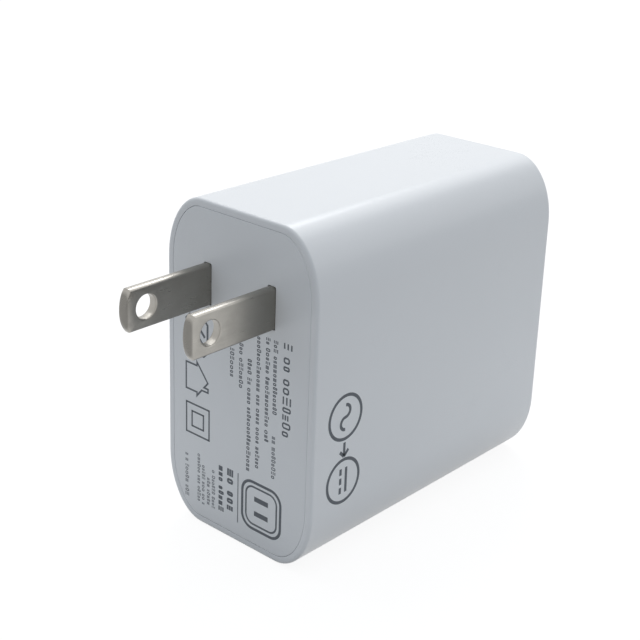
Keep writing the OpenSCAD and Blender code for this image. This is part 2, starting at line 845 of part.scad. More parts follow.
module bridge_rectifier() {
    stand_off = 1.5;
    bevel = 2.2;
    color("dimgray") on_board(bridge_at) {
        translate([0, bridge_thickness / 2, stand_off]) rotate([90, 0, 0])
            linear_extrude(bridge_thickness) polygon([
                [-bridge_length / 2, 0],
                [bridge_length / 2, 0],
                [bridge_length / 2, bridge_height - stand_off],
                [bevel - bridge_length / 2, bridge_height - stand_off],
                [-bridge_length / 2, bridge_height - stand_off - bevel]
            ]);
        for (p = bridge_leads)
            translate([p[0], p[1], -board_thickness - lead_stub])
                cylinder(r = lead_diameter / 2, h = board_thickness + lead_stub + stand_off + 0.4);
    }
}

// An electrolytic capacitor's can: rolled base, crimp above it and a scored vent on top
module can(diameter, height) {
    r = diameter / 2;
    crimp = 0.35;
    edge = 0.4;
    difference() {
        rotate_extrude() polygon([
            [0, 0], [r - edge, 0], [r, edge], [r, 1.4], [r - crimp, 1.8], [r - crimp, 2.2],
            [r, 2.6], [r, height - edge], [r - edge, height], [0, height]
        ]);
        for (turn = [0, 90])
            translate([0, 0, height]) rotate([0, 0, turn])
                cube([diameter * 0.7, 0.3, 0.3], center = true);
    }
    leads(can_leads);
}

module bulk_capacitor_front() {
    color("darkslateblue") on_board(bulk_front_at) can(bulk_diameter, bulk_height);
}

module bulk_capacitor_back() {
    color("darkslateblue") on_board(bulk_back_at) can(bulk_diameter, bulk_height);
}

// ---- Transformer ----

core_gap = 0.02;
window_half = core_half_height - core_back;
winding_outer = core_window - 0.9;

// One half of the core, standing on Z = 0 with its open side up
module core_half() {
    difference() {
        translate([-core_length / 2, -core_width / 2, 0])
            cube([core_length, core_width, core_half_height - core_gap]);
        translate([0, 0, core_back]) difference() {
            cylinder(r = core_window, h = core_half_height);
            cylinder(r = core_post, h = core_half_height - core_back - core_gap);
        }
    }
}

module transformer_core_lower() {
    color("darkgray") on_board(transformer_at) core_half();
}

module transformer_core_upper() {
    color("darkgray") on_board(transformer_at)
        translate([0, 0, 2 * core_half_height]) mirror([0, 0, 1]) core_half();
}

module transformer_bobbin() {
    hub = core_post + slip_gap;
    spool = window_half - slip_gap;
    color("black") on_board(transformer_at) {
        translate([0, 0, core_half_height]) rotate_extrude() {
            translate([hub, -spool]) square([bobbin_wall, 2 * spool]);
            for (end = [0, 1]) mirror([0, end])
                translate([hub, spool - bobbin_wall])
                    square([core_window - slip_gap - hub, bobbin_wall]);
        }
        // Pin rails beside the core, joined to the lower flange
        for (side = [0, 1]) mirror([0, side, 0]) {
            translate([-pin_rail_length / 2, core_width / 2 + pin_rail_gap, 0])
                cube([pin_rail_length, pin_rail_width, core_back + slip_gap + bobbin_wall]);
            translate([-2, core_width / 2 - 1, core_back + slip_gap])
                cube([4, 2, bobbin_wall]);
        }
        leads(transformer_pins);
    }
}

// A ring round the bobbin's hub
module wound_ring(inner, outer) {
    reach = window_half - slip_gap - bobbin_wall - 0.05;
    on_board(transformer_at)
        translate([0, 0, core_half_height - reach]) linear_extrude(2 * reach) difference() {
            circle(r = outer);
            circle(r = inner);
        }
}

module transformer_winding() {
    color("chocolate") wound_ring(core_post + slip_gap + bobbin_wall + 0.05, winding_outer);
}

module transformer_tape() {
    color("yellow") wound_ring(winding_outer + 0.05, winding_outer + 0.4);
}

// ---- Output parts ----

module y_capacitor() {
    color("dodgerblue") on_board(y_capacitor_at)
        coated_disc(y_capacitor_diameter, y_capacitor_thickness);
}

module output_capacitor_front() {
    color("silver") on_board(output_capacitor_front_at)
        can(output_capacitor_diameter, output_capacitor_height);
}

module output_capacitor_back() {
    color("silver") on_board(output_capacitor_back_at)
        can(output_capacitor_diameter, output_capacitor_height);
}

// ---- Parts on the solder side ----

// A moulded chip with a row of flat legs along two sides
module chip(length, width, height, legs) {
    leg = 0.4;
    leg_height = 0.25;
    difference() {
        translate([-length / 2, -width / 2, 0]) cube([length, width, height]);
        translate([-length / 2 + 0.9, -width / 2 + 0.9, height - 0.1])
            cylinder(r = 0.35, h = cut);
    }
    for (i = [0:legs - 1], side = [-1, 1])
        translate([(i - (legs - 1) / 2) * length / legs - leg / 2,
            side * (width / 2 + leg_reach / 2 - 0.05) - leg_reach / 2 - 0.05, 0])
            cube([leg, leg_reach + 0.1, leg_height]);
}

module power_switch() {
    color("black") under_board(power_switch_at)
        chip(switch_size, switch_size, switch_height, 4);
}

module power_controller() {
    color("black") under_board(controller_at)
        chip(controller_length, controller_width, controller_height, 5);
}

module optocoupler() {
    color("whitesmoke") under_board(optocoupler_at)
        chip(optocoupler_length, optocoupler_width, optocoupler_height, 2);
}

module sync_rectifier() {
    color("black") under_board(sync_rectifier_at)
        chip(rectifier_length, rectifier_width, rectifier_height, 4);
}

// Small resistors and capacitors in two short rows, between the rows of leads
module chip_parts() {
    color("tan") for (row = [below_middle, above_middle], i = [-2.5:2.5])
        under_board([transformer_at[0] + i * chip_part_spacing, row])
            translate([-chip_part_length / 4, -chip_part_length / 2, 0])
                cube([chip_part_length / 2, chip_part_length, chip_part_length / 3]);
}

// ---- USB-C socket ----

module usb_c_shell() {
    color("silver") {
        along_y(port_board_face, socket_mouth) difference() {
            socket_slot(0);
            socket_slot(-socket_sheet);
        }
        for (leg = shell_legs)
            translate([leg[0], port_board_back - 0.6, leg[1]]) rotate([-90, 0, 0])
                cylinder(r = lead_diameter / 2, h = port_board_thickness + 0.6);
    }
}

module usb_c_tongue() {
    color("black") {
        along_y(port_board_face, port_board_face + tongue_root)
            socket_slot(-socket_sheet - 0.05);
        along_y(port_board_face, socket_mouth - tongue_recess)
            translate([0, middle])
                square([tongue_thickness, tongue_width], center = true);
    }
}

module usb_c_contacts() {
    front = socket_mouth - tongue_recess - 0.6;
    color("gold") for (side = [0, 1], i = [0:contact_count - 1])
        mirror([side, 0, 0])
            translate([
                tongue_thickness / 2,
                front - contact_length,
                middle + (i - (contact_count - 1) / 2) * contact_pitch - contact_width / 2
            ])
                cube([contact_thickness, contact_length, contact_width]);
}

module port_controller() {
    at_x = socket_height / 2 + (port_board_top - socket_height / 2) / 2;
    color("black") translate([at_x, port_board_face, middle]) rotate([-90, 0, 0]) chip(4, 4, 0.8, 4);
}

housing_shell();
plug_cover();
blade_left();
blade_right();
blade_retainer();
contact_spring_left();
contact_spring_right();
insulating_film();
heat_spreader();
main_board();
fuse();
varistor();
thermistor();
choke_base();
choke_core();
choke_winding_live();
choke_winding_neutral();
x_capacitor();
bridge_rectifier();
bulk_capacitor_front();
bulk_capacitor_back();
insulating_barrier();
transformer_bobbin();
transformer_winding();
transformer_tape();
transformer_core_lower();
transformer_core_upper();
y_capacitor();
output_capacitor_front();
output_capacitor_back();
power_switch();
power_controller();
optocoupler();
sync_rectifier();
chip_parts();
thermal_pad_input();
thermal_pad_output();
port_board();
port_controller();
usb_c_shell();
usb_c_tongue();
usb_c_contacts();
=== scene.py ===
"""Dresses a packed wall power adapter: its housing, blades, print, finishes and studio.

Everything is in metres, unless it says millimetres, in the frame of the packed model: +Z is up,
the wall lies towards -Y, and the origin is on the plug face, midway between the blades.
"""

import collections
import json
import math
import random

import bmesh
import bpy
from mathutils import Matrix, Vector


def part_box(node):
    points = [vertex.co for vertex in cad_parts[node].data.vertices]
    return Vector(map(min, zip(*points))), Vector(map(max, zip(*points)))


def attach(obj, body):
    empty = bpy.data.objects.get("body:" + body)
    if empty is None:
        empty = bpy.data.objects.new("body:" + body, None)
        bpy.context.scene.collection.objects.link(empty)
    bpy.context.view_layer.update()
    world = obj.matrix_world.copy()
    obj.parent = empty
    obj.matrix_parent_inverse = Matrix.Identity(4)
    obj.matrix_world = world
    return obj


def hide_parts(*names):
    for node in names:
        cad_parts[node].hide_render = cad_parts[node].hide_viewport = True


bl_info = {
    "name": "Wall Power Adapter",
    "version": (1, 0, 0),
    "blender": (4, 5, 0),
    "location": "3D View > Sidebar > Adapter",
    "description": "Housing, blades, print, finishes and studio of a small wall power adapter",
    "category": "Object",
}

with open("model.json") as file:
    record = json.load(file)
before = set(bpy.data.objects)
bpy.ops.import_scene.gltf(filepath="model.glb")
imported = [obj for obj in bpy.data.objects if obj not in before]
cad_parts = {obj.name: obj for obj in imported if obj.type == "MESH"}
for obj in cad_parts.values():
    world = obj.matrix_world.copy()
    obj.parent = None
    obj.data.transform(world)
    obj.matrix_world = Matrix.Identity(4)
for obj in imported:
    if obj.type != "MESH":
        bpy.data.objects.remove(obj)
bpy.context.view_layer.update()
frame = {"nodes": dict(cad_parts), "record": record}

MM = 0.001
# Points nearer to each other than this are one
TOUCH = 1e-7
# A step too short to see
HAIR = 1e-6
BODY = "root"

# Places of the housing and its socket, from the packed pieces
SHELL_LOW, SHELL_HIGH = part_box("housing_shell")
SOCKET_LOW, SOCKET_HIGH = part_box("usb_c_shell")
HALF_WIDTH = SHELL_HIGH.x
HALF_HEIGHT = (SHELL_HIGH.z - SHELL_LOW.z) / 2
MIDDLE = (SHELL_HIGH.z + SHELL_LOW.z) / 2
DEPTH = SHELL_HIGH.y
FOOT = SHELL_LOW.z

# Frames of the two printed faces: the print reads downwards, its own plane is X and Y
FACE_PLACES = {
    "plug": Matrix(((0, 1, 0, 0), (0, 0, -1, 0), (-1, 0, 0, 0), (0, 0, 0, 1))),
    "side": Matrix(((0, 0, 1, HALF_WIDTH), (0, 1, 0, 0), (-1, 0, 0, 0), (0, 0, 0, 1))),
}


# ---- Settings ----

def length(name, description, default):
    """A length in metres, given in millimetres."""
    return bpy.props.FloatProperty(
        name=name, description=description, default=default * MM, min=0.0,
        precision=5, unit="LENGTH", subtype="DISTANCE")


def colour(name, description, default):
    return bpy.props.FloatVectorProperty(
        name=name, description=description, default=default, size=3, min=0.0, max=1.0,
        subtype="COLOR")


def share(name, description, default):
    return bpy.props.FloatProperty(
        name=name, description=description, default=default, min=0.0, max=1.0,
        subtype="FACTOR")


def power(name, description, default):
    return bpy.props.FloatProperty(
        name=name, description=description, default=default, min=0.0, subtype="POWER")


class HousingSettings(bpy.types.PropertyGroup):
    """Sizes of the moulded housing"""

    corner_across: length("Corner across", "Reach of the long corners across the width", 7.0)
    corner_along: length("Corner along", "Reach of the long corners along the height", 10.3)
    wall: length("Wall", "Thickness of the side walls", 2.0)
    end_wall: length("End wall", "Thickness of the wall round the socket", 2.2)
    rim: length("Rim", "Width of the rim round the plug cover", 1.165)
    rim_edge: length("Rim edge", "Rounding of the rim's inner edge at the seam", 0.06)
    plug_edge: length("Plug edge", "Rounding of the edge round the plug face", 0.5)
    port_edge: length("Port edge", "Rounding of the edge round the port face", 1.0)
    socket_gap: length("Socket gap", "Gap between the socket and the housing", 0.15)
    mouth_edge: length("Mouth edge", "Rounding of the socket opening's edge", 0.3)
    cover_thickness: length("Cover thickness", "Depth of the recess for the plug cover", 1.8)


class BladeSettings(bpy.types.PropertyGroup):
    """Sizes of the two flat blades"""

    width: length("Width", "Width of a blade", 6.35)
    tip_radius: length("Tip radius", "Radius of the round end", 5.0)
    taper: length("Taper", "Length over which the flats draw in towards the end", 0.9)
    tip_thickness: length("Tip thickness", "Thickness at the end", 0.9)
    edge_across: length("Edge across", "Reach of the rounded edges across the thickness", 0.55)
    edge_along: length("Edge along", "Reach of the rounded edges along the flats", 0.35)
    hole: length("Hole", "Diameter of the hole", 3.6)
    hole_reach: length("Hole reach", "Distance of the hole from the plug face", 12.1)
    hole_edge: length("Hole edge", "Rounding of the hole's rim", 0.2)
    shoulder_depth: length("Shoulder depth", "Thickness of the shoulders behind the cover", 1.8)
    tail_width: length("Tail width", "Width of the tail behind the shoulders", 4.0)


class PrintSettings(bpy.types.PropertyGroup):
    """Sizes and colour of the printed marks"""

    thickness: length("Ink thickness", "How far the ink stands out of the plastic", 0.012)
    line: length("Line", "Line width of the framed signs", 0.28)
    stroke: length("Stroke", "Line width of the large signs on the side", 0.5)
    ink: colour("Ink", "Colour of the ink", (0.065, 0.078, 0.095))
    seed: bpy.props.IntProperty(
        name="Seed", description="Draws the kinds and widths of the abstract marks", default=7)


class FinishSettings(bpy.types.PropertyGroup):
    """Colours, wear and painted shade of the visible finishes"""

    white: colour("White", "Colour of the moulded housing", (0.805, 0.82, 0.835))
    nickel: colour("Nickel", "Colour of the blades' plating", (0.41, 0.395, 0.365))
    # This colour is partly dulled plating and partly painted shade towards the blades' roots,
    # where the housing shades them
    tarnish: colour("Tarnish", "Colour of the plating where it has dulled", (0.29, 0.28, 0.255))
    # How bright the painted shade on the drawn-in ends is against the flats; it stands in for
    # the darker surroundings they mirror
    coined_shade: share("Coined", "How bright the coined ends are against the flats", 0.53)
    dust: share("Dust", "Share of the places that hold a speck of dust", 0.10)


class StageSettings(bpy.types.PropertyGroup):
    """Studio light and camera"""

    key: power("Key light", "Power of the small lamp behind on the left", 1.45)
    left: power("Left light", "Power of the large lamp on the left", 1.3)
    sheen: power("Sheen light", "Power of the lamp that shines on the long corner", 0.3)
    back: power("Back light", "Power of the large lamp behind", 0.64)
    right: power("Right light", "Power of the large lamp behind on the right", 0.56)
    ambient: share("Ambient", "Strength of the room's light", 0.52)
    azimuth: bpy.props.FloatProperty(
        name="Azimuth", description="Camera's turn to the right of the blades' axis",
        default=math.radians(41.494), subtype="ANGLE")
    elevation: bpy.props.FloatProperty(
        name="Elevation", description="Camera's height as an angle",
        default=math.radians(20.201), subtype="ANGLE")
    roll: bpy.props.FloatProperty(
        name="Roll", description="Camera's turn about its own axis",
        default=math.radians(1.977), subtype="ANGLE")
    distance: length("Distance", "Distance from the camera to its target", 195.937)
    lens: bpy.props.FloatProperty(
        name="Focal length", description="Focal length on a 36 mm sensor",
        default=74.942, subtype="DISTANCE_CAMERA")
    shift: bpy.props.FloatProperty(
        name="Shift", description="Vertical shift of the view", default=-0.078125)


# ---- Meshes ----

# Edges that turn by more than this stay sharp
SHARP_TURN = math.radians(32)
# How far the large faces lead in the shading
NORMALS_WEIGHT = 80
# Steps of a housing corner and of a corner of the socket's opening
CORNER_STEPS, SLOT_STEPS = 28, 16
# How much of half a side a full round takes: at 1 its two ends would meet in one point
FULL_ROUND = 0.9999
# How much a bmesh grows while its loops are joined
ENLARGED = 1e6


def mm(*values):
    """Millimetres as metres."""
    return tuple(value * MM for value in values)


def everything(bm):
    return bm.verts[:] + bm.edges[:] + bm.faces[:]


def verts_among(geometry):
    return [g for g in geometry if isinstance(g, bmesh.types.BMVert)]


def make_object(bm, name, material):
    """Turns a bmesh into a piece of the adapter that rides on its body."""
    bmesh.ops.remove_doubles(bm, verts=bm.verts, dist=TOUCH)
    bmesh.ops.recalc_face_normals(bm, faces=bm.faces)
    mesh = bpy.data.meshes.new(name)
    bm.to_mesh(mesh)
    bm.free()
    mesh.shade_smooth()
    mesh.set_sharp_from_angle(angle=SHARP_TURN)
    mesh.materials.append(material)
    piece = bpy.data.objects.new(name, mesh)
    bpy.context.scene.collection.objects.link(piece)
    normals = piece.modifiers.new("Normals", "WEIGHTED_NORMAL")
    normals.keep_sharp = True
    normals.weight = NORMALS_WEIGHT
    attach(piece, BODY)
    return piece


def rounded_rectangle(bm, size, radii, segments, matrix):
    """A flat face with rounded corners, made in X and Y and then moved. Returns its verts."""
    before = set(bm.verts)
    stretch = radii[1] / radii[0]
    bmesh.ops.create_grid(bm, x_segments=1, y_segments=1, size=0.5)
    corners = [v for v in bm.verts if v not in before]
    bmesh.ops.scale(bm, vec=Vector((size[0], size[1] / stretch, 1)), verts=corners)
    bmesh.ops.bevel(bm, geom=corners, offset=radii[0], offset_type="OFFSET",
                    segments=segments, profile=0.5, affect="VERTICES", material=-1)
    made = [v for v in bm.verts if v not in before]
    bmesh.ops.remove_doubles(bm, verts=made, dist=TOUCH)
    made = [v for v in bm.verts if v not in before]
    bmesh.ops.transform(bm, matrix=matrix @ Matrix.Diagonal((1, stretch, 1, 1)), verts=made)
    return made


def once(items):
    """Each item once, in an order that is the same each run."""
    return list(dict.fromkeys(items))


def faces_of(verts):
    return once(f for v in verts for f in v.link_faces)


def edges_of(verts):
    return once(e for v in verts for e in v.link_edges)


def corners_of(faces):
    return once(v for f in faces for v in f.verts)


def open_loop(bm, verts):
    """Takes the face out of a loop and returns its edges."""
    bmesh.ops.delete(bm, geom=faces_of(verts), context="FACES_ONLY")
    return edges_of(verts)


def across(depth):
    """The upright plane at a depth behind the plug face, facing the wall."""
    return Matrix.Translation((0, depth, MIDDLE)) @ Matrix.Rotation(math.pi / 2, 4, "X")


def housing_loop(bm, sizes, depth, inset):
    """Edges of the housing's outline at a depth, set in by inset."""
    ink = bpy.context.scene.adapter_print.thickness
    size = (2 * (HALF_WIDTH - ink - inset), 2 * (HALF_HEIGHT - inset))
    radii = (sizes.corner_across - inset, sizes.corner_along - inset)
    return open_loop(bm, rounded_rectangle(bm, size, radii, CORNER_STEPS, across(depth)))


def slot_loop(bm, gap, depth):
    """Edges of the socket's opening at a depth, wider than the socket by gap all round."""
    size = [high - low + 2 * gap for low, high in
            ((SOCKET_LOW.x, SOCKET_HIGH.x), (SOCKET_LOW.z, SOCKET_HIGH.z))]
    radius = size[0] / 2 * FULL_ROUND
    return open_loop(bm, rounded_rectangle(bm, size, (radius, radius), SLOT_STEPS,
                                           across(depth)))


def quarter(steps):
    """Pairs (along, in) of a rounded edge of radius 1, from its end face to its side."""
    turns = [math.pi / 2 * i / steps for i in range(steps + 1)]
    return [(1 - math.cos(a), 1 - math.sin(a)) for a in turns]


def bridge(bm, loops):
    """Joins loops of edges in their order."""
    # Enlarged meanwhile: loops whose middles lie within a small part of a unit may be crossed
    bmesh.ops.scale(bm, vec=Vector((ENLARGED,) * 3), verts=bm.verts)
    for here, beyond in zip(loops, loops[1:]):
        bmesh.ops.bridge_loops(bm, edges=here + beyond)
    bmesh.ops.scale(bm, vec=Vector((1 / ENLARGED,) * 3), verts=bm.verts)


def block(bm, low, high):
    """A plain rectangular block between two corners."""
    low, high = Vector(low), Vector(high)
    matrix = Matrix.Translation((low + high) / 2) @ Matrix.Diagonal((*(high - low), 1))
    bmesh.ops.create_cube(bm, size=1, matrix=matrix)


# ---- Ink ----

# The abstract marks: chances of an empty frame, of a tall mark and of a gap between words
FRAME_CHANCE, TALL_CHANCE, WORD_CHANCE = 0.6, 0.3, 0.15
# Their sizes and gaps against their row's height, and a frame's cut corner against its width
NARROW, WIDE, LOW_MARK, LEAST_ROOM = 0.45, 0.75, 0.74, 0.4
MARK_GAP, WORD_GAP = 0.24, 0.75
CUT_CORNER = 0.25
ARC_STEPS = 20

# Corners of the house sign in a square of 1 round its middle, its foot towards -Y
HOUSE = ((-0.37, -0.5), (0.37, -0.5), (0.37, -0.03), (0.5, -0.03), (0.27, 0.214),
         (0.27, 0.5), (0.13, 0.5), (0.13, 0.362), (0, 0.5), (-0.5, -0.03), (-0.37, -0.03))


def raise_ink(bm, verts, thickness):
    """Gives flat ink its thickness: its top stands above its plane, its back lies below."""
    made = bmesh.ops.extrude_face_region(bm, geom=faces_of(verts))["geom"]
    bmesh.ops.translate(bm, vec=Vector((0, 0, thickness)), verts=verts_among(made))
    bmesh.ops.translate(bm, vec=Vector((0, 0, -thickness)), verts=verts)


def frame_ink(bm, verts, line, thickness):
    """Turns a flat face into a printed frame of an even line width."""
    inside = faces_of(verts)
    frame_faces = bmesh.ops.inset_region(bm, faces=inside, thickness=line, use_boundary=True,
                                         use_even_offset=True)["faces"]
    bmesh.ops.delete(bm, geom=inside, context="FACES_ONLY")
    raise_ink(bm, corners_of(frame_faces), thickness)


def ring_ink(bm, centre, size, radius, line, thickness, segments=8):
    """A printed frame round a centre; one segment cuts its corners, more round them."""
    verts = rounded_rectangle(bm, size, (radius, radius), segments,
                              Matrix.Translation((*centre, 0)))
    frame_ink(bm, verts, line, thickness)


def house_ink(bm, centre, size, line, thickness):
    """A printed outline of a house with eaves and a chimney."""
    verts = bmesh.ops.create_circle(bm, cap_ends=True, radius=1, segments=len(HOUSE))["verts"]
    for v, place in zip(verts, HOUSE):
        v.co = (*place, 0)
    bmesh.ops.transform(bm, matrix=Matrix.Translation((*centre, 0))
                        @ Matrix.Diagonal((*size, 1, 1)), verts=verts)
    frame_ink(bm, verts, line, thickness)


def mark_ink(bm, draw, low, size, line, thickness):
    """An abstract mark in a cell: an empty frame with cut corners, or three level bars."""
    (x, y), (width, height) = low, size
    if draw.random() < FRAME_CHANCE:
        ring_ink(bm, (x + width / 2, y + height / 2), size, CUT_CORNER * width, line,
                 thickness, 1)
        return
    for share_up in (0, 0.5, 1):
        level = y + share_up * (height - line)
        block(bm, (x, level, -thickness), (x + width, level + line, thickness))


def row_ink(bm, draw, row, thickness):
    """A row of abstract marks: from, to, low, high and line width in millimetres."""
    start, end, low, high, line = row
    height = high - low
    at = start
    while at < end - LEAST_ROOM * height:
        width = min(height * draw.uniform(NARROW, WIDE), end - at)
        tall = 1.0 if draw.random() < TALL_CHANCE else LOW_MARK
        mark_ink(bm, draw, mm(at, low), mm(width, tall * height), line * MM, thickness)
        at += width + (WORD_GAP if draw.random() < WORD_CHANCE else MARK_GAP) * height


def bar_ink(bm, start, end, width, thickness):
    """A straight printed line from start to end."""
    start, end = Vector(start), Vector(end)
    along = end - start
    matrix = (Matrix.Translation((*((start + end) / 2), 0))
              @ Matrix.Rotation(math.atan2(along.y, along.x), 4, "Z")
              @ Matrix.Diagonal((along.length, width, 2 * thickness, 1)))
    bmesh.ops.create_cube(bm, size=1, matrix=matrix)


def arc_ink(bm, centre, radius, width, start, turn, thickness):
    """A printed arc, spun from a short edge across the line."""
    ends = [bmesh.ops.create_vert(bm, co=(radius + side * width / 2, 0, 0))["vert"][0]
            for side in (-1, 1)]
    edge = bm.edges.new(ends)
    bmesh.ops.rotate(bm, cent=(0, 0, 0), matrix=Matrix.Rotation(start, 3, "Z"), verts=ends)
    before = set(bm.verts) - set(ends)
    bmesh.ops.spin(bm, geom=ends + [edge], cent=(0, 0, 0), axis=(0, 0, 1), angle=turn,
                   steps=ARC_STEPS, use_duplicate=False)
    verts = [v for v in bm.verts if v not in before]
    bmesh.ops.translate(bm, vec=Vector((*centre, 0)), verts=verts)
    raise_ink(bm, verts, thickness)


# ---- Node groups and finishes ----

# The values between which a noise texture mostly lies
NOISE_LOW, NOISE_HIGH = 0.35, 0.65
# Heights of the surface grain and of the wound or laminated lines
GRAIN_HEIGHT, LINE_HEIGHT = 2e-5, 5e-5
# Specks of dust have from this share of their set size to 1 more
LEAST_SPECK = 0.3
# Scale of the noise that breaks up the dulled plating and painted shade at the blades' roots
TARNISH_AND_SHADE_GRAIN = 500.0


def new_group(name, inputs, outputs):
    """A shader node group. Returns its wiring, what it is given and where its results go."""
    tree = bpy.data.node_groups.new(name, "ShaderNodeTree")
    for label, kind, default in inputs:
        socket = tree.interface.new_socket(label, in_out="INPUT", socket_type=kind)
        if default is not None:
            socket.default_value = default
    for label, kind in outputs:
        tree.interface.new_socket(label, in_out="OUTPUT", socket_type=kind)
    return (Wiring(tree), tree.nodes.new("NodeGroupInput").outputs,
            tree.nodes.new("NodeGroupOutput").inputs)


class Wiring:
    """Short calls that add and join the nodes of one tree."""

    def __init__(self, tree):
        self.tree = tree

    def put(self, target, value):
        if isinstance(value, bpy.types.NodeSocket):
            self.tree.links.new(value, target)
        else:
            target.default_value = value

    def add(self, kind, settings=None, **sockets):
        """A node; its sockets' names have an underscore for each space."""
        node = self.tree.nodes.new(kind)
        for key, value in (settings or {}).items():
            setattr(node, key, value)
        for key, value in sockets.items():
            self.put(node.inputs[key.replace("_", " ")], value)
        return node

    def group(self, name, **sockets):
        return self.add("ShaderNodeGroup", {"node_tree": bpy.data.node_groups[name]}, **sockets)

    def math(self, operation, a, b, clamp=False):
        node = self.tree.nodes.new("ShaderNodeMath")
        node.operation = operation
        node.use_clamp = clamp
        self.put(node.inputs[0], a)
        self.put(node.inputs[1], b)
        return node.outputs[0]

    def mix(self, factor, a, b):
        """A mix of two colours, whose sockets share their names with other kinds."""
        node = self.add("ShaderNodeMix", {"data_type": "RGBA"})
        self.put(node.inputs[0], factor)
        self.put(node.inputs[6], a)
        self.put(node.inputs[7], b)
        return node.outputs[2]

    def vector(self, operation, *values):
        """A vector operation. Returns its vector, or its number where it gives one."""
        node = self.add("ShaderNodeVectorMath", {"operation": operation})
        for target, value in zip(node.inputs, values):
            self.put(target, value)
        return node.outputs["Value" if operation == "LENGTH" else "Vector"]

    def span(self, value, low, high, new_low=0.0, new_high=1.0):
        """The value's place between low and high, carried over to the new range."""
        node = self.add("ShaderNodeMapRange", {"clamp": True}, Value=value)
        for key, number in (("From Min", low), ("From Max", high),
                            ("To Min", new_low), ("To Max", new_high)):
            self.put(node.inputs[key], number)
        return node.outputs[0]

    def noise(self, vector, scale, detail, roughness):
        node = self.add("ShaderNodeTexNoise", Vector=vector, Scale=scale, Detail=detail,
                        Roughness=roughness)
        return node.outputs["Fac"]


def make_grain_group():
    """Mottled colour, varied roughness and a fine grain, stretched along one axis if asked."""
    w, given, result = new_group("Surface grain", [
        ("Vector", "NodeSocketVector", None),
        ("Color", "NodeSocketColor", (0.8, 0.8, 0.8, 1)),
        ("Second color", "NodeSocketColor", (0.7, 0.7, 0.7, 1)),
        ("Mottle scale", "NodeSocketFloat", 120.0),
        ("Mottle", "NodeSocketFloat", 0.5),
        ("Roughness low", "NodeSocketFloat", 0.3),
        ("Roughness high", "NodeSocketFloat", 0.4),
        ("Grain scale", "NodeSocketFloat", 5000.0),
        ("Grain depth", "NodeSocketFloat", 0.2),
        ("Stretch", "NodeSocketVector", (1, 1, 1)),
    ], [("Color", "NodeSocketColor"), ("Roughness", "NodeSocketFloat"),
        ("Normal", "NodeSocketVector")])
    mottle = w.noise(given["Vector"], given["Mottle scale"], detail=4.0, roughness=0.6)
    cloud = w.span(mottle, NOISE_LOW, NOISE_HIGH)
    amount = w.math("MULTIPLY", cloud, given["Mottle"], clamp=True)
    colour_out = w.mix(amount, given["Color"], given["Second color"])
    drawn = w.vector("MULTIPLY", given["Vector"], given["Stretch"])
    grain = w.noise(drawn, given["Grain scale"], detail=2.0, roughness=0.5)
    mean = w.math("ADD", w.math("MULTIPLY", grain, 0.5), w.math("MULTIPLY", mottle, 0.5))
    rough = w.span(mean, NOISE_LOW, NOISE_HIGH, given["Roughness low"], given["Roughness high"])
    bump = w.add("ShaderNodeBump", Strength=given["Grain depth"], Distance=GRAIN_HEIGHT,
                 Height=grain)
    w.put(result["Color"], colour_out)
    w.put(result["Roughness"], rough)
    w.put(result["Normal"], bump.outputs[0])


def make_speck_group():
    """A mask of small specks that lie here and there."""
    w, given, result = new_group("Dust specks", [
        ("Vector", "NodeSocketVector", None),
        ("Scale", "NodeSocketFloat", 150.0),
        ("Share", "NodeSocketFloat", 0.1),
        ("Size", "NodeSocketFloat", 0.02),
    ], [("Mask", "NodeSocketFloat")])
    cells = w.add("ShaderNodeTexVoronoi", Vector=given["Vector"], Scale=given["Scale"])
    parts = w.add("ShaderNodeSeparateColor", Color=cells.outputs["Color"])
    chosen = w.math("LESS_THAN", parts.outputs[0], given["Share"])
    reach = w.math("MULTIPLY", given["Size"], w.math("ADD", parts.outputs[1], LEAST_SPECK))
    near = w.math("LESS_THAN", cells.outputs["Distance"], reach)
    w.put(result["Mask"], w.math("MULTIPLY", chosen, near))


def make_tarnish_and_shade_group():
    """A mask of dulled plating and painted shade that grows from the tip to the root of a blade,
    broken up by fine streaks.
    """
    w, given, result = new_group("Tarnish", [
        ("Vector", "NodeSocketVector", None),
        ("Start", "NodeSocketFloat", -9 * MM),
        ("End", "NodeSocketFloat", -2 * MM),
        ("Breakup", "NodeSocketFloat", 0.3),
    ], [("Mask", "NodeSocketFloat")])
    parts = w.add("ShaderNodeSeparateXYZ", Vector=given["Vector"])
    blotch = w.noise(given["Vector"], TARNISH_AND_SHADE_GRAIN, detail=5.0, roughness=0.65)
    fade = w.span(parts.outputs["Y"], given["Start"], given["End"])
    broken = w.math("MULTIPLY", w.math("SUBTRACT", blotch, 0.5), given["Breakup"])
    w.put(result["Mask"], w.math("ADD", fade, broken, clamp=True))


def make_lines_group():
    """Parallel fine lines, as of wound wire or laminated sheet, as a mask and a height."""
    w, given, result = new_group("Fine lines", [
        ("Vector", "NodeSocketVector", None),
        ("Scale", "NodeSocketFloat", 800.0),
        ("Wobble", "NodeSocketFloat", 0.5),
        ("Depth", "NodeSocketFloat", 0.6),
        ("Normal", "NodeSocketVector", None),
    ], [("Mask", "NodeSocketFloat"), ("Normal", "NodeSocketVector")])
    wave = w.add("ShaderNodeTexWave", {"bands_direction": "Z"}, Vector=given["Vector"],
                 Scale=given["Scale"], Distortion=given["Wobble"])
    bump = w.add("ShaderNodeBump", Strength=given["Depth"], Distance=LINE_HEIGHT,
                 Height=wave.outputs["Fac"], Normal=given["Normal"])
    w.put(result["Mask"], wave.outputs["Fac"])
    w.put(result["Normal"], bump.outputs[0])


# smooth and rough are the ends of the roughness, and second is how bright the mottle's second
# colour is against the first
Finish = collections.namedtuple("Finish", (
    "metallic", "smooth", "rough", "mottle_scale", "mottle", "second", "grain_scale",
    "grain_depth", "stretch", "coat"))

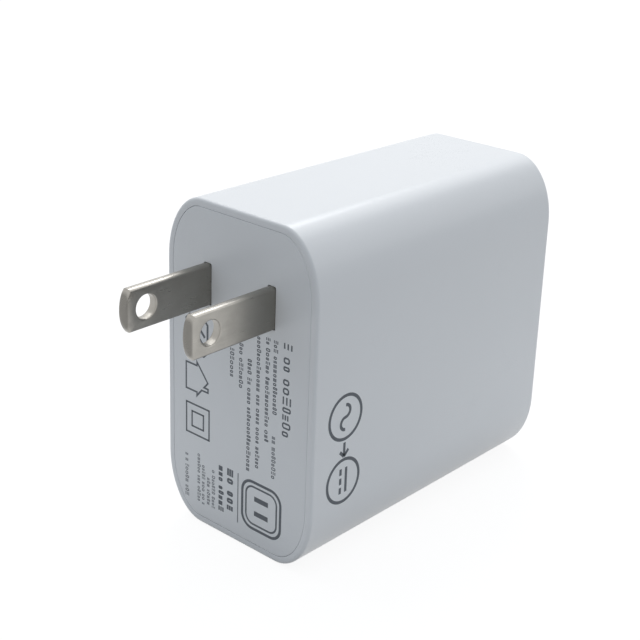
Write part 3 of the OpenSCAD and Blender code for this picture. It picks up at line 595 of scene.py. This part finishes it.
# The finish of each material slot, in the order of Finish
FINISHES = {
    "housing_white": (0.0, 0.27, 0.31, 60, 0.4, 0.98, 9000, 0.04, (1, 1, 1), 0.0),
    "blade_nickel": (1.0, 0.26, 0.42, 300, 0.6, 0.8, 4500, 0.25, (1, 0.06, 1), 0.0),
    "nylon_grey": (0.0, 0.45, 0.6, 400, 0.6, 0.8, 6000, 0.5, (1, 1, 1), 0.0),
    "nylon_black": (0.0, 0.4, 0.55, 400, 0.6, 0.6, 6000, 0.5, (1, 1, 1), 0.0),
    "spring_brass": (1.0, 0.25, 0.4, 300, 0.5, 0.75, 5000, 0.2, (1, 1, 0.08), 0.0),
    "film": (0.0, 0.3, 0.42, 120, 0.5, 0.9, 3000, 0.1, (1, 1, 1), 0.0),
    "spreader_metal": (1.0, 0.3, 0.45, 180, 0.7, 0.8, 3500, 0.2, (1, 0.05, 1), 0.0),
    "circuit_board": (0.0, 0.25, 0.45, 700, 0.8, 0.55, 2500, 0.3, (1, 1, 1), 0.0),
    "component_brown": (0.0, 0.35, 0.5, 400, 0.6, 0.7, 5000, 0.4, (1, 1, 1), 0.0),
    "coated_blue": (0.0, 0.15, 0.3, 350, 0.6, 0.7, 1500, 0.5, (1, 1, 1), 0.4),
    "coated_black": (0.0, 0.15, 0.3, 350, 0.6, 0.6, 1500, 0.5, (1, 1, 1), 0.4),
    "ferrite": (0.0, 0.45, 0.65, 600, 0.7, 0.7, 7000, 0.6, (1, 1, 1), 0.0),
    "copper_wire": (1.0, 0.25, 0.4, 500, 0.6, 0.7, 4000, 0.2, (1, 1, 1), 0.3),
    "capacitor_yellow": (0.0, 0.35, 0.5, 250, 0.5, 0.85, 5000, 0.3, (1, 1, 1), 0.0),
    "chip_black": (0.0, 0.5, 0.65, 600, 0.6, 0.6, 8000, 0.5, (1, 1, 1), 0.0),
    "capacitor_sleeve": (0.0, 0.18, 0.3, 200, 0.5, 0.8, 1200, 0.15, (1, 1, 0.3), 0.2),
    "tape_yellow": (0.0, 0.2, 0.35, 200, 0.5, 0.85, 1500, 0.2, (1, 1, 1), 0.0),
    "capacitor_can": (1.0, 0.25, 0.4, 250, 0.5, 0.85, 4000, 0.2, (0.05, 1, 1), 0.0),
    "chip_white": (0.0, 0.45, 0.6, 500, 0.5, 0.9, 7000, 0.4, (1, 1, 1), 0.0),
    "chip_tan": (0.0, 0.4, 0.6, 900, 0.6, 0.8, 8000, 0.4, (1, 1, 1), 0.0),
    "thermal_pad": (0.0, 0.6, 0.75, 500, 0.6, 0.85, 3000, 0.8, (1, 1, 1), 0.0),
    "socket_steel": (1.0, 0.2, 0.34, 400, 0.5, 0.85, 5000, 0.2, (1, 0.06, 1), 0.0),
    "contact_gold": (1.0, 0.18, 0.3, 500, 0.4, 0.85, 6000, 0.2, (1, 0.1, 1), 0.0),
}
INK_FINISH = Finish(0.0, 0.35, 0.5, 900, 0.8, 1.35, 9000, 0.1, (1, 1, 1), 0.0)
IOR = 1.5

DUST_SCALE, DUST_SIZE, DUST_STRENGTH = 150.0, 0.022, 0.35
DUST_GREY = (0.25, 0.26, 0.28, 1)
# Finishes with wound or laminated lines, and the lines' scale, strength and tone
LINED = ("copper_wire", "circuit_board", "tape_yellow")
LINE_SCALE, LINE_STRENGTH, LINE_TONE = 900.0, 0.3, 0.6
# Over what length the painted shade on the blades' drawn-in ends fades in from the flats
COINED_SHADE_FADE = 0.3 * MM


def new_material(name):
    """An empty node material. Returns it, its wiring, its shader and its coordinates."""
    material = bpy.data.materials.new(name)
    material.use_nodes = True
    w = Wiring(material.node_tree)
    shader = material.node_tree.nodes["Principled BSDF"]
    coordinates = w.add("ShaderNodeTexCoord").outputs["Object"]
    return material, w, shader, coordinates


def scaled(rgb, factor):
    return (*(c * factor for c in rgb), 1.0)


def add_grain(w, coordinates, rgb, finish):
    """Puts the shared grain into a material with this finish's own values."""
    return w.group("Surface grain", Vector=coordinates, Color=(*rgb, 1.0),
                   Second_color=scaled(rgb, finish.second), Mottle_scale=finish.mottle_scale,
                   Mottle=finish.mottle, Roughness_low=finish.smooth,
                   Roughness_high=finish.rough, Grain_scale=finish.grain_scale,
                   Grain_depth=finish.grain_depth, Stretch=finish.stretch).outputs


def make_finish(slot_name, rgb):
    """A material for one of the record's material slots, in a colour."""
    finish = Finish(*FINISHES[slot_name])
    material, w, shader, coordinates = new_material("finish_" + slot_name)
    grain = add_grain(w, coordinates, rgb, finish)
    tone, normal = grain["Color"], grain["Normal"]
    settings = bpy.context.scene.adapter_finishes
    if slot_name == "housing_white":
        specks = w.group("Dust specks", Vector=coordinates, Scale=DUST_SCALE,
                         Share=settings.dust, Size=DUST_SIZE)
        faint = w.math("MULTIPLY", specks.outputs["Mask"], DUST_STRENGTH)
        tone = w.mix(faint, tone, DUST_GREY)
    if slot_name == "blade_nickel":
        # Darker towards the root: partly dulled plating, partly painted shade where the housing
        # shades the blade
        tarnish = w.group("Tarnish", Vector=coordinates)
        tone = w.mix(tarnish.outputs["Mask"], tone, (*settings.tarnish, 1))
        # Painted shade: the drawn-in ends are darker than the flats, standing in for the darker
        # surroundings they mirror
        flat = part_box("blade_left")[0].y + bpy.context.scene.adapter_blades.taper
        parts = w.add("ShaderNodeSeparateXYZ", Vector=coordinates)
        coined_shade = w.span(parts.outputs["Y"], flat, flat - COINED_SHADE_FADE)
        tone = w.mix(coined_shade, tone, scaled(rgb, settings.coined_shade))
    if slot_name in LINED:
        lines = w.group("Fine lines", Vector=coordinates, Scale=LINE_SCALE, Normal=normal)
        normal = lines.outputs["Normal"]
        faint = w.math("MULTIPLY", lines.outputs["Mask"], LINE_STRENGTH)
        tone = w.mix(faint, tone, scaled(rgb, LINE_TONE))
    w.put(shader.inputs["Base Color"], tone)
    w.put(shader.inputs["Roughness"], grain["Roughness"])
    w.put(shader.inputs["Normal"], normal)
    shader.inputs["Metallic"].default_value = finish.metallic
    shader.inputs["Coat Weight"].default_value = finish.coat
    shader.inputs["IOR"].default_value = IOR
    return material


def make_ink(rgb):
    """Printed ink: a dull film, slightly uneven where the plastic's grain shows through."""
    _, w, shader, coordinates = new_material("finish_ink")
    grain = add_grain(w, coordinates, rgb, INK_FINISH)
    w.put(shader.inputs["Base Color"], grain["Color"])
    w.put(shader.inputs["Roughness"], grain["Roughness"])
    w.put(shader.inputs["Normal"], grain["Normal"])


# ---- Operators ----

class ADAPTER_OT_finishes(bpy.types.Operator):
    """Makes the finishes and gives each packed piece its own"""

    bl_idname = "adapter.finishes"
    bl_label = "Finishes"

    def execute(self, context):
        make_grain_group()
        make_speck_group()
        make_tarnish_and_shade_group()
        make_lines_group()
        settings = context.scene.adapter_finishes
        own = {"housing_white": settings.white, "blade_nickel": settings.nickel}
        finishes = {}
        for entry in frame["record"]["materials"]:
            name = entry["slot"]
            finishes[name] = make_finish(name, tuple(own.get(name, entry["base_color"])))
        for node in frame["nodes"].values():
            for holder in node.material_slots:
                # Blender adds a dot and a number to a name that is taken
                holder.material = finishes[holder.material.name.split(".")[0]]
        make_ink(tuple(context.scene.adapter_print.ink))
        return {"FINISHED"}


class ADAPTER_OT_housing(bpy.types.Operator):
    """Builds the moulded housing with its rim, its rounded ends and the socket's opening"""

    bl_idname = "adapter.housing"
    bl_label = "Housing"

    # Steps of the rounded edges
    seam_steps, plug_steps, port_steps, mouth_steps = 3, 8, 10, 4

    def execute(self, context):
        s = context.scene.adapter_housing
        bm = bmesh.new()
        inside = DEPTH - s.end_wall
        # From the inside of the port end, round the rim, to the outside of the port end
        stations = [(inside, s.wall), (s.cover_thickness, s.wall),
                    (s.cover_thickness - HAIR, s.rim)]
        stations += [(s.rim_edge * along + HAIR, s.rim - s.rim_edge * into)
                     for along, into in reversed(quarter(self.seam_steps))]
        stations += [(s.plug_edge * along, s.plug_edge * into)
                     for along, into in quarter(self.plug_steps)]
        stations += [(DEPTH - s.port_edge * along, s.port_edge * into)
                     for along, into in reversed(quarter(self.port_steps))]
        loops = [housing_loop(bm, s, *station) for station in stations]
        bridge(bm, loops)
        mouth = [(inside, s.socket_gap)]
        mouth += [(DEPTH - s.mouth_edge * along, s.socket_gap + s.mouth_edge * into)
                  for along, into in reversed(quarter(self.mouth_steps))]
        slots = [slot_loop(bm, gap, depth) for depth, gap in mouth]
        bridge(bm, slots)
        for wide, narrow in ((loops[0], slots[0]), (loops[-1], slots[-1])):
            bmesh.ops.triangle_fill(bm, use_beauty=True, use_dissolve=False,
                                    edges=wide + narrow)
        piece = make_object(bm, "housing", bpy.data.materials["finish_housing_white"])
        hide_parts("housing_shell")
        return {"FINISHED"}


class ADAPTER_OT_blades(bpy.types.Operator):
    """Builds the two plated blades with their drawn-in round ends, soft edges and holes"""

    bl_idname = "adapter.blades"
    bl_label = "Blades"

    # Sides of the circles of the round end and of the hole, and steps of their rounded edges
    end_sides, hole_sides, edge_steps, rim_steps = 192, 64, 6, 4
    # Where the round end is cut, as a share of its radius
    end_cut = 0.9
    # A shorter edge would turn over when the flat draws in
    shortest_edge = 0.05 * MM
    # Cuts across the drawn-in end, and the power with which it thins towards the tip
    cuts, growth = 6, 1.5

    def execute(self, context):
        s = context.scene.adapter_blades
        shoulder = context.scene.adapter_housing.cover_thickness
        for name in ("blade_left", "blade_right"):
            low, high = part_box(name)
            half = (high.x - low.x) / 2
            bm = bmesh.new()
            self.outline(bm, s, low.y, shoulder, half)
            self.hole(bm, s, half)
            self.draw_in(bm, s, low.y, half)
            bmesh.ops.mirror(bm, geom=everything(bm), merge_dist=TOUCH, axis="X")
            tail = shoulder + s.shoulder_depth
            block(bm, (-half, shoulder, low.z), (half, tail, high.z))
            block(bm, (-half, tail, -s.tail_width / 2), (half, high.y, s.tail_width / 2))
            bmesh.ops.translate(bm, vec=Vector(((low.x + high.x) / 2, 0, 0)), verts=bm.verts)
            piece = make_object(bm, name + "_plated",
                                bpy.data.materials["finish_blade_nickel"])
            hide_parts(name)
        return {"FINISHED"}

    def outline(self, bm, s, tip, end, half):
        """Half the thickness of the bar: its flat with the soft edge and its side."""
        bmesh.ops.create_circle(
            bm, cap_ends=True, radius=s.tip_radius, segments=self.end_sides,
            matrix=Matrix.Translation((0, tip + s.tip_radius, 0))
            @ Matrix.Rotation(math.pi / 2, 4, "Y"))
        cut = tip + self.end_cut * s.tip_radius
        for place, away in (((0, 0, s.width / 2), (0, 0, 1)),
                            ((0, 0, -s.width / 2), (0, 0, -1)), ((0, cut, 0), (0, 1, 0))):
            bmesh.ops.bisect_plane(bm, geom=everything(bm), dist=TOUCH, plane_co=place,
                                   plane_no=away, clear_outer=True)
        for v in bm.verts:
            if v.co.y > cut - HAIR:
                v.co.y = end
            v.co.x = half - s.edge_across
        bmesh.ops.remove_doubles(bm, verts=bm.verts, dist=self.shortest_edge)
        flat = list(bm.faces)
        made = bmesh.ops.extrude_edge_only(bm, edges=bm.edges[:])["geom"]
        bmesh.ops.translate(bm, vec=Vector((s.edge_across - half, 0, 0)),
                            verts=verts_among(made))
        steps = list(reversed(quarter(self.edge_steps)))
        for (along, into), (next_along, next_into) in zip(steps, steps[1:]):
            bmesh.ops.inset_region(
                bm, faces=flat, thickness=(next_into - into) * s.edge_along,
                use_even_offset=True, use_boundary=True)
            rise = (along - next_along) * s.edge_across
            bmesh.ops.translate(bm, vec=Vector((rise, 0, 0)), verts=corners_of(flat))
        bmesh.ops.delete(bm, geom=flat, context="FACES_ONLY")

    def hole(self, bm, s, half):
        """The hole's wall and rim, joined to the flat."""
        rim = [e for e in bm.edges if e.is_boundary and e.verts[0].co.x > half - TOUCH]
        loops = []
        for along, into in quarter(self.rim_steps) + [(half / s.hole_edge, 0)]:
            circle = bmesh.ops.create_circle(
                bm, radius=s.hole / 2 + s.hole_edge * into, segments=self.hole_sides,
                matrix=Matrix.Translation((half - s.hole_edge * along, -s.hole_reach, 0))
                @ Matrix.Rotation(math.pi / 2, 4, "Y"))["verts"]
            loops.append(edges_of(circle))
        bridge(bm, loops)
        bmesh.ops.triangle_fill(bm, use_beauty=True, use_dissolve=False, edges=rim + loops[0])

    def draw_in(self, bm, s, tip, half):
        """Thins the bar towards its end."""
        for i in range(self.cuts, 0, -1):
            bmesh.ops.bisect_plane(bm, geom=everything(bm), dist=TOUCH,
                                   plane_co=(0, tip + s.taper * i / self.cuts, 0),
                                   plane_no=(0, 1, 0))
        thinning = 1 - s.tip_thickness / (2 * half)
        for v in bm.verts:
            reach = max(0.0, (tip + s.taper - v.co.y) / s.taper)
            v.co.x *= 1 - thinning * reach ** self.growth


class ADAPTER_OT_side_signs(bpy.types.Operator):
    """Prints the signs for alternating and direct current on the side"""

    bl_idname = "adapter.side_signs"
    bl_label = "Side signs"

    # In millimetres: middles of the two rings, and their size, corner radius and steps
    wave_at, level_at, up = 15.9, 26.0, 6.65
    ring_size, ring_radius, ring_steps = 7.3, 3.649, 16
    # The wave's two arcs: their distance from its middle and their radius
    arc_away, arc_radius = 0.96, 0.95
    # The level line and its dashes: half the line, how far both lie from the middle, the
    # dashes' pitch, and half a dash
    line_half, line_away, dash_pitch, dash_half = 2.0, 0.6, 1.5, 0.5
    # The arrow: where it starts, its tip, how far its shaft ends before it, and its barbs' reach
    arrow_start, arrow_tip, shaft_short, barb = 19.9, 22.1, 0.2, 0.9

    def execute(self, context):
        s = context.scene.adapter_print
        bm = bmesh.new()
        t, stroke = s.thickness, s.stroke
        for along in (self.wave_at, self.level_at):
            ring_ink(bm, mm(along, self.up), mm(self.ring_size, self.ring_size),
                     self.ring_radius * MM, stroke, t, self.ring_steps)
        for turn, away in ((0, -self.arc_away), (math.pi, self.arc_away)):
            arc_ink(bm, mm(self.wave_at + away, self.up), self.arc_radius * MM, stroke, turn,
                    math.pi, t)
        above, below = self.up + self.line_away, self.up - self.line_away
        self.bar(bm, s, (self.level_at - self.line_half, above),
                 (self.level_at + self.line_half, above))
        for i in (-1, 0, 1):
            middle = self.level_at + i * self.dash_pitch
            self.bar(bm, s, (middle - self.dash_half, below), (middle + self.dash_half, below))
        self.bar(bm, s, (self.arrow_start, self.up),
                 (self.arrow_tip - self.shaft_short, self.up))
        for side in (-1, 1):
            self.bar(bm, s, (self.arrow_tip, self.up),
                     (self.arrow_tip - self.barb, self.up + side * self.barb))
        sink = Matrix.Translation((0, 0, -t))
        bmesh.ops.transform(bm, matrix=FACE_PLACES["side"] @ sink, verts=bm.verts)
        make_object(bm, "side_signs", bpy.data.materials["finish_ink"])
        return {"FINISHED"}

    def bar(self, bm, s, start, end):
        """A line of the signs' own stroke between two places in millimetres."""
        bar_ink(bm, mm(*start), mm(*end), s.stroke, s.thickness)


class ADAPTER_OT_label(bpy.types.Operator):
    """Prints rows of abstract marks and plain signs on the plug cover, as on a rating label"""

    bl_idname = "adapter.label"
    bl_label = "Label"

    # All in millimetres. Rows of abstract marks: from, to, low, high, and their line width
    rows = (
        (4.4, 18.6, 8.9, 10.5, 0.26), (4.6, 15.9, 7.0, 7.8, 0.16), (19.4, 26.7, 7.0, 7.8, 0.14),
        (4.6, 20.7, 5.5, 6.3, 0.16), (5.0, 26.1, 3.75, 4.55, 0.16),
        (9.0, 27.1, 1.95, 2.75, 0.16), (7.1, 14.6, 0.25, 1.05, 0.15),
        (8.4, 13.4, -1.6, -0.8, 0.15), (28.0, 36.3, -2.0, -0.3, 0.36),
        (28.2, 35.9, -3.8, -2.7, 0.27), (29.6, 36.3, -5.25, -4.6, 0.11),
        (31.3, 36.3, -6.3, -5.65, 0.11), (29.6, 36.3, -7.4, -6.75, 0.11),
        (28.0, 36.3, -8.4, -7.75, 0.11), (28.8, 36.3, -11.1, -10.35, 0.12),
    )
    # The hatched frame: its middle, size, cut corner and line; its bars' middles and reach
    hatched_at, hatched_size, hatched_corner, hatched_line = (8.7, -8.6), (6.3, 4.9), 0.9, 0.38
    hatch = ((7.95, -7.55, 1.3), (8.75, -8.4, 2.1), (9.7, -9.25, 1.3))
    hatch_line = 0.42
    house_at, house_size = (15.7, -8.55), (6.2, 5.0)
    # The double square: its middle, sizes and cut corner
    squares_at, squares_sizes, squares_corner = (22.55, -8.4), (5.2, 2.75), 0.02
    # The outlet: its middle; size, corner radius and line of its two frames; how far its slots
    # lie from the middle either way, half their length, and their width
    outlet_at = (32.1, 5.1)
    outlet_frames = ((8.2, 2.2, 0.45), (6.5, 1.6, 0.3))
    slot_away, slot_half, slot_width = 1.2, 1.4, 0.8
    # The rule beside the outlet: from, to, its level and width
    rule = (28.0, 36.3, 0.3, 0.16)

    def execute(self, context):
        s = context.scene.adapter_print
        bm = bmesh.new()
        t = s.thickness
        draw = random.Random(s.seed)
        for row in self.rows:
            row_ink(bm, draw, row, t)
        ring_ink(bm, mm(*self.hatched_at), mm(*self.hatched_size), self.hatched_corner * MM,
                 self.hatched_line * MM, t, 1)
        for x, y, reach in self.hatch:
            bar_ink(bm, mm(x - reach / 2, y - reach / 2), mm(x + reach / 2, y + reach / 2),
                    self.hatch_line * MM, t)
        house_ink(bm, mm(*self.house_at), mm(*self.house_size), s.line, t)
        for size in self.squares_sizes:
            ring_ink(bm, mm(*self.squares_at), mm(size, size), self.squares_corner * MM,
                     s.line, t, 1)
        for size, radius, line in self.outlet_frames:
            ring_ink(bm, mm(*self.outlet_at), mm(size, size), radius * MM, line * MM, t)
        x, y = self.outlet_at
        for at in (x - self.slot_away, x + self.slot_away):
            bar_ink(bm, mm(at, y - self.slot_half), mm(at, y + self.slot_half),
                    self.slot_width * MM, t)
        start, end, level, width = self.rule
        bar_ink(bm, mm(start, level), mm(end, level), width * MM, t)
        bmesh.ops.transform(bm, matrix=FACE_PLACES["plug"], verts=bm.verts)
        make_object(bm, "label_print", bpy.data.materials["finish_ink"])
        return {"FINISHED"}


def towards(azimuth, elevation):
    """A direction, turned from the side of the wall towards +X and raised."""
    return Vector((math.sin(azimuth) * math.cos(elevation),
                   -math.cos(azimuth) * math.cos(elevation), math.sin(elevation)))


class ADAPTER_OT_stage(bpy.types.Operator):
    """Adds the floor, the lamps, the room's light and the camera"""

    bl_idname = "adapter.stage"
    bl_label = "Stage"

    # Side of each lamp in metres, and its azimuth and elevation in degrees
    lamps = {"key": (0.3, 220, 46), "left": (0.5, 270, 60), "sheen": (0.35, 190, 40),
             "back": (0.5, 180, 60), "right": (0.5, 135, 28)}
    lamp_distance = 0.8
    room_colour = (0.87, 0.93, 1.0, 1)
    # Half a side of the floor, in metres
    floor_half = 2.0
    # The floor as other surfaces get it: a painted pool of light that fades away from the
    # adapter's middle, and a painted shadow round its foot. Each has a distance from and to, and
    # the brightness at both
    painted_floor_pool = (0.04, 0.16, 0.75, 0.3)
    painted_foot_shadow = (0.0, 0.012, 0.4, 1.0)
    # The floor as it is seen: its glow, and a grey that takes the adapter's shadow
    floor_glow = 0.9
    floor_grey = (0.16, 0.16, 0.16, 1)
    # The camera's sensor in millimetres, how near it sees, and its target in millimetres
    sensor_width, nearest_seen = 36.0, 0.01
    camera_target = (1.736, 15.0, 0.514)

    def execute(self, context):
        s = context.scene.adapter_stage
        self.add_floor()
        for name, (size, azimuth, elevation) in self.lamps.items():
            self.add_lamp(name, getattr(s, name), size, azimuth, elevation)
        self.light_room(context.scene, s.ambient)
        self.add_camera(context.scene, s)
        context.scene.view_settings.view_transform = "Standard"
        return {"FINISHED"}

    def add_floor(self):
        bm = bmesh.new()
        bmesh.ops.create_grid(bm, x_segments=1, y_segments=1, size=self.floor_half,
                              matrix=Matrix.Translation((0, 0, FOOT)))
        mesh = bpy.data.meshes.new("floor")
        bm.to_mesh(mesh)
        bm.free()
        floor = bpy.data.objects.new("floor", mesh)
        bpy.context.scene.collection.objects.link(floor)
        material, w, shader, coordinates = new_material("floor_white")
        w.tree.nodes.remove(shader)
        away = w.vector("SUBTRACT", coordinates, (0, DEPTH / 2, FOOT))
        beside = w.vector("SUBTRACT", w.vector("ABSOLUTE", away), (HALF_WIDTH, DEPTH / 2, 0))
        gap = w.vector("LENGTH", w.vector("MAXIMUM", beside, (0, 0, 0)))
        # The floor's colour for other surfaces holds the painted pool of light and the painted
        # shadow round the foot
        bright = w.math("MULTIPLY", w.span(w.vector("LENGTH", away), *self.painted_floor_pool),
                        w.span(gap, *self.painted_foot_shadow))
        plain = w.add("ShaderNodeBsdfDiffuse", Color=bright)
        faint = w.add("ShaderNodeBsdfDiffuse", Color=self.floor_grey)
        glow = w.add("ShaderNodeEmission", Strength=self.floor_glow)
        both = w.add("ShaderNodeAddShader")
        w.put(both.inputs[0], faint.outputs[0])
        w.put(both.inputs[1], glow.outputs[0])
        mixed = w.add("ShaderNodeMixShader", Fac=self.seen(w))
        w.put(mixed.inputs[1], plain.outputs[0])
        w.put(mixed.inputs[2], both.outputs[0])
        w.put(w.tree.nodes["Material Output"].inputs["Surface"], mixed.outputs[0])
        mesh.materials.append(material)

    def seen(self, w):
        """1 for rays that show the background: the camera's, mirrored and refracted ones."""
        rays = w.add("ShaderNodeLightPath").outputs
        first = w.math("MAXIMUM", rays["Is Camera Ray"], rays["Is Glossy Ray"])
        return w.math("MAXIMUM", first, rays["Is Transmission Ray"])

    def add_lamp(self, name, watts, size, azimuth, elevation):
        """A square lamp aimed at the adapter's middle."""
        place = self.lamp_distance * towards(math.radians(azimuth), math.radians(elevation))
        lamp = bpy.data.lights.new(name, "AREA")
        lamp.energy = watts
        lamp.size = size
        holder = bpy.data.objects.new(name, lamp)
        bpy.context.scene.collection.objects.link(holder)
        target = Vector((0, DEPTH / 2, MIDDLE))
        holder.location = target + place
        holder.rotation_euler = place.to_track_quat("Z", "Y").to_euler()

    def light_room(self, scene, ambient):
        scene.world = bpy.data.worlds.new("studio")
        scene.world.use_nodes = True
        w = Wiring(scene.world.node_tree)
        base = w.tree.nodes["Background"]
        base.inputs["Color"].default_value = self.room_colour
        base.inputs["Strength"].default_value = ambient
        white = w.add("ShaderNodeBackground", Color=(1, 1, 1, 1), Strength=1.0)
        mixed = w.add("ShaderNodeMixShader", Fac=self.seen(w))
        w.put(mixed.inputs[1], base.outputs[0])
        w.put(mixed.inputs[2], white.outputs[0])
        w.put(w.tree.nodes["World Output"].inputs["Surface"], mixed.outputs[0])

    def add_camera(self, scene, s):
        data = bpy.data.cameras.new("camera")
        data.lens, data.sensor_width, data.shift_y = s.lens, self.sensor_width, s.shift
        data.clip_start = self.nearest_seen
        camera = bpy.data.objects.new("camera", data)
        scene.collection.objects.link(camera)
        scene.camera = camera
        back = towards(s.azimuth, s.elevation)
        right = Vector((math.cos(s.azimuth), math.sin(s.azimuth), 0))
        turn = Matrix((right, back.cross(right), back)).transposed()
        turn = turn @ Matrix.Rotation(s.roll, 3, "Z")
        target = Vector(self.camera_target) * MM
        camera.matrix_world = Matrix.Translation(target + back * s.distance) @ turn.to_4x4()


OPERATORS = (ADAPTER_OT_finishes, ADAPTER_OT_housing, ADAPTER_OT_blades, ADAPTER_OT_side_signs,
             ADAPTER_OT_label, ADAPTER_OT_stage)
SETTINGS = {
    "adapter_housing": HousingSettings,
    "adapter_blades": BladeSettings,
    "adapter_print": PrintSettings,
    "adapter_finishes": FinishSettings,
    "adapter_stage": StageSettings,
}


class ADAPTER_PT_panel(bpy.types.Panel):
    """Lists the adapter's pieces and their settings"""

    bl_idname = "ADAPTER_PT_panel"
    bl_label = "Wall Power Adapter"
    bl_space_type = "VIEW_3D"
    bl_region_type = "UI"
    bl_category = "Adapter"

    def draw(self, context):
        for operator in OPERATORS:
            self.layout.operator(operator.bl_idname)
        for name, group in SETTINGS.items():
            box = self.layout.box()
            box.label(text=group.__doc__)
            for key in group.__annotations__:
                box.prop(getattr(context.scene, name), key)


CLASSES = (*SETTINGS.values(), *OPERATORS, ADAPTER_PT_panel)


def register():
    for item in CLASSES:
        bpy.utils.register_class(item)
    for name, group in SETTINGS.items():
        setattr(bpy.types.Scene, name, bpy.props.PointerProperty(type=group))


def unregister():
    for name in SETTINGS:
        delattr(bpy.types.Scene, name)
    for item in reversed(CLASSES):
        bpy.utils.unregister_class(item)


def main():
    register()
    bpy.ops.adapter.finishes()
    bpy.ops.adapter.housing()
    bpy.ops.adapter.blades()
    bpy.ops.adapter.side_signs()
    bpy.ops.adapter.label()
    bpy.ops.adapter.stage()


if __name__ == "__main__":
    main()
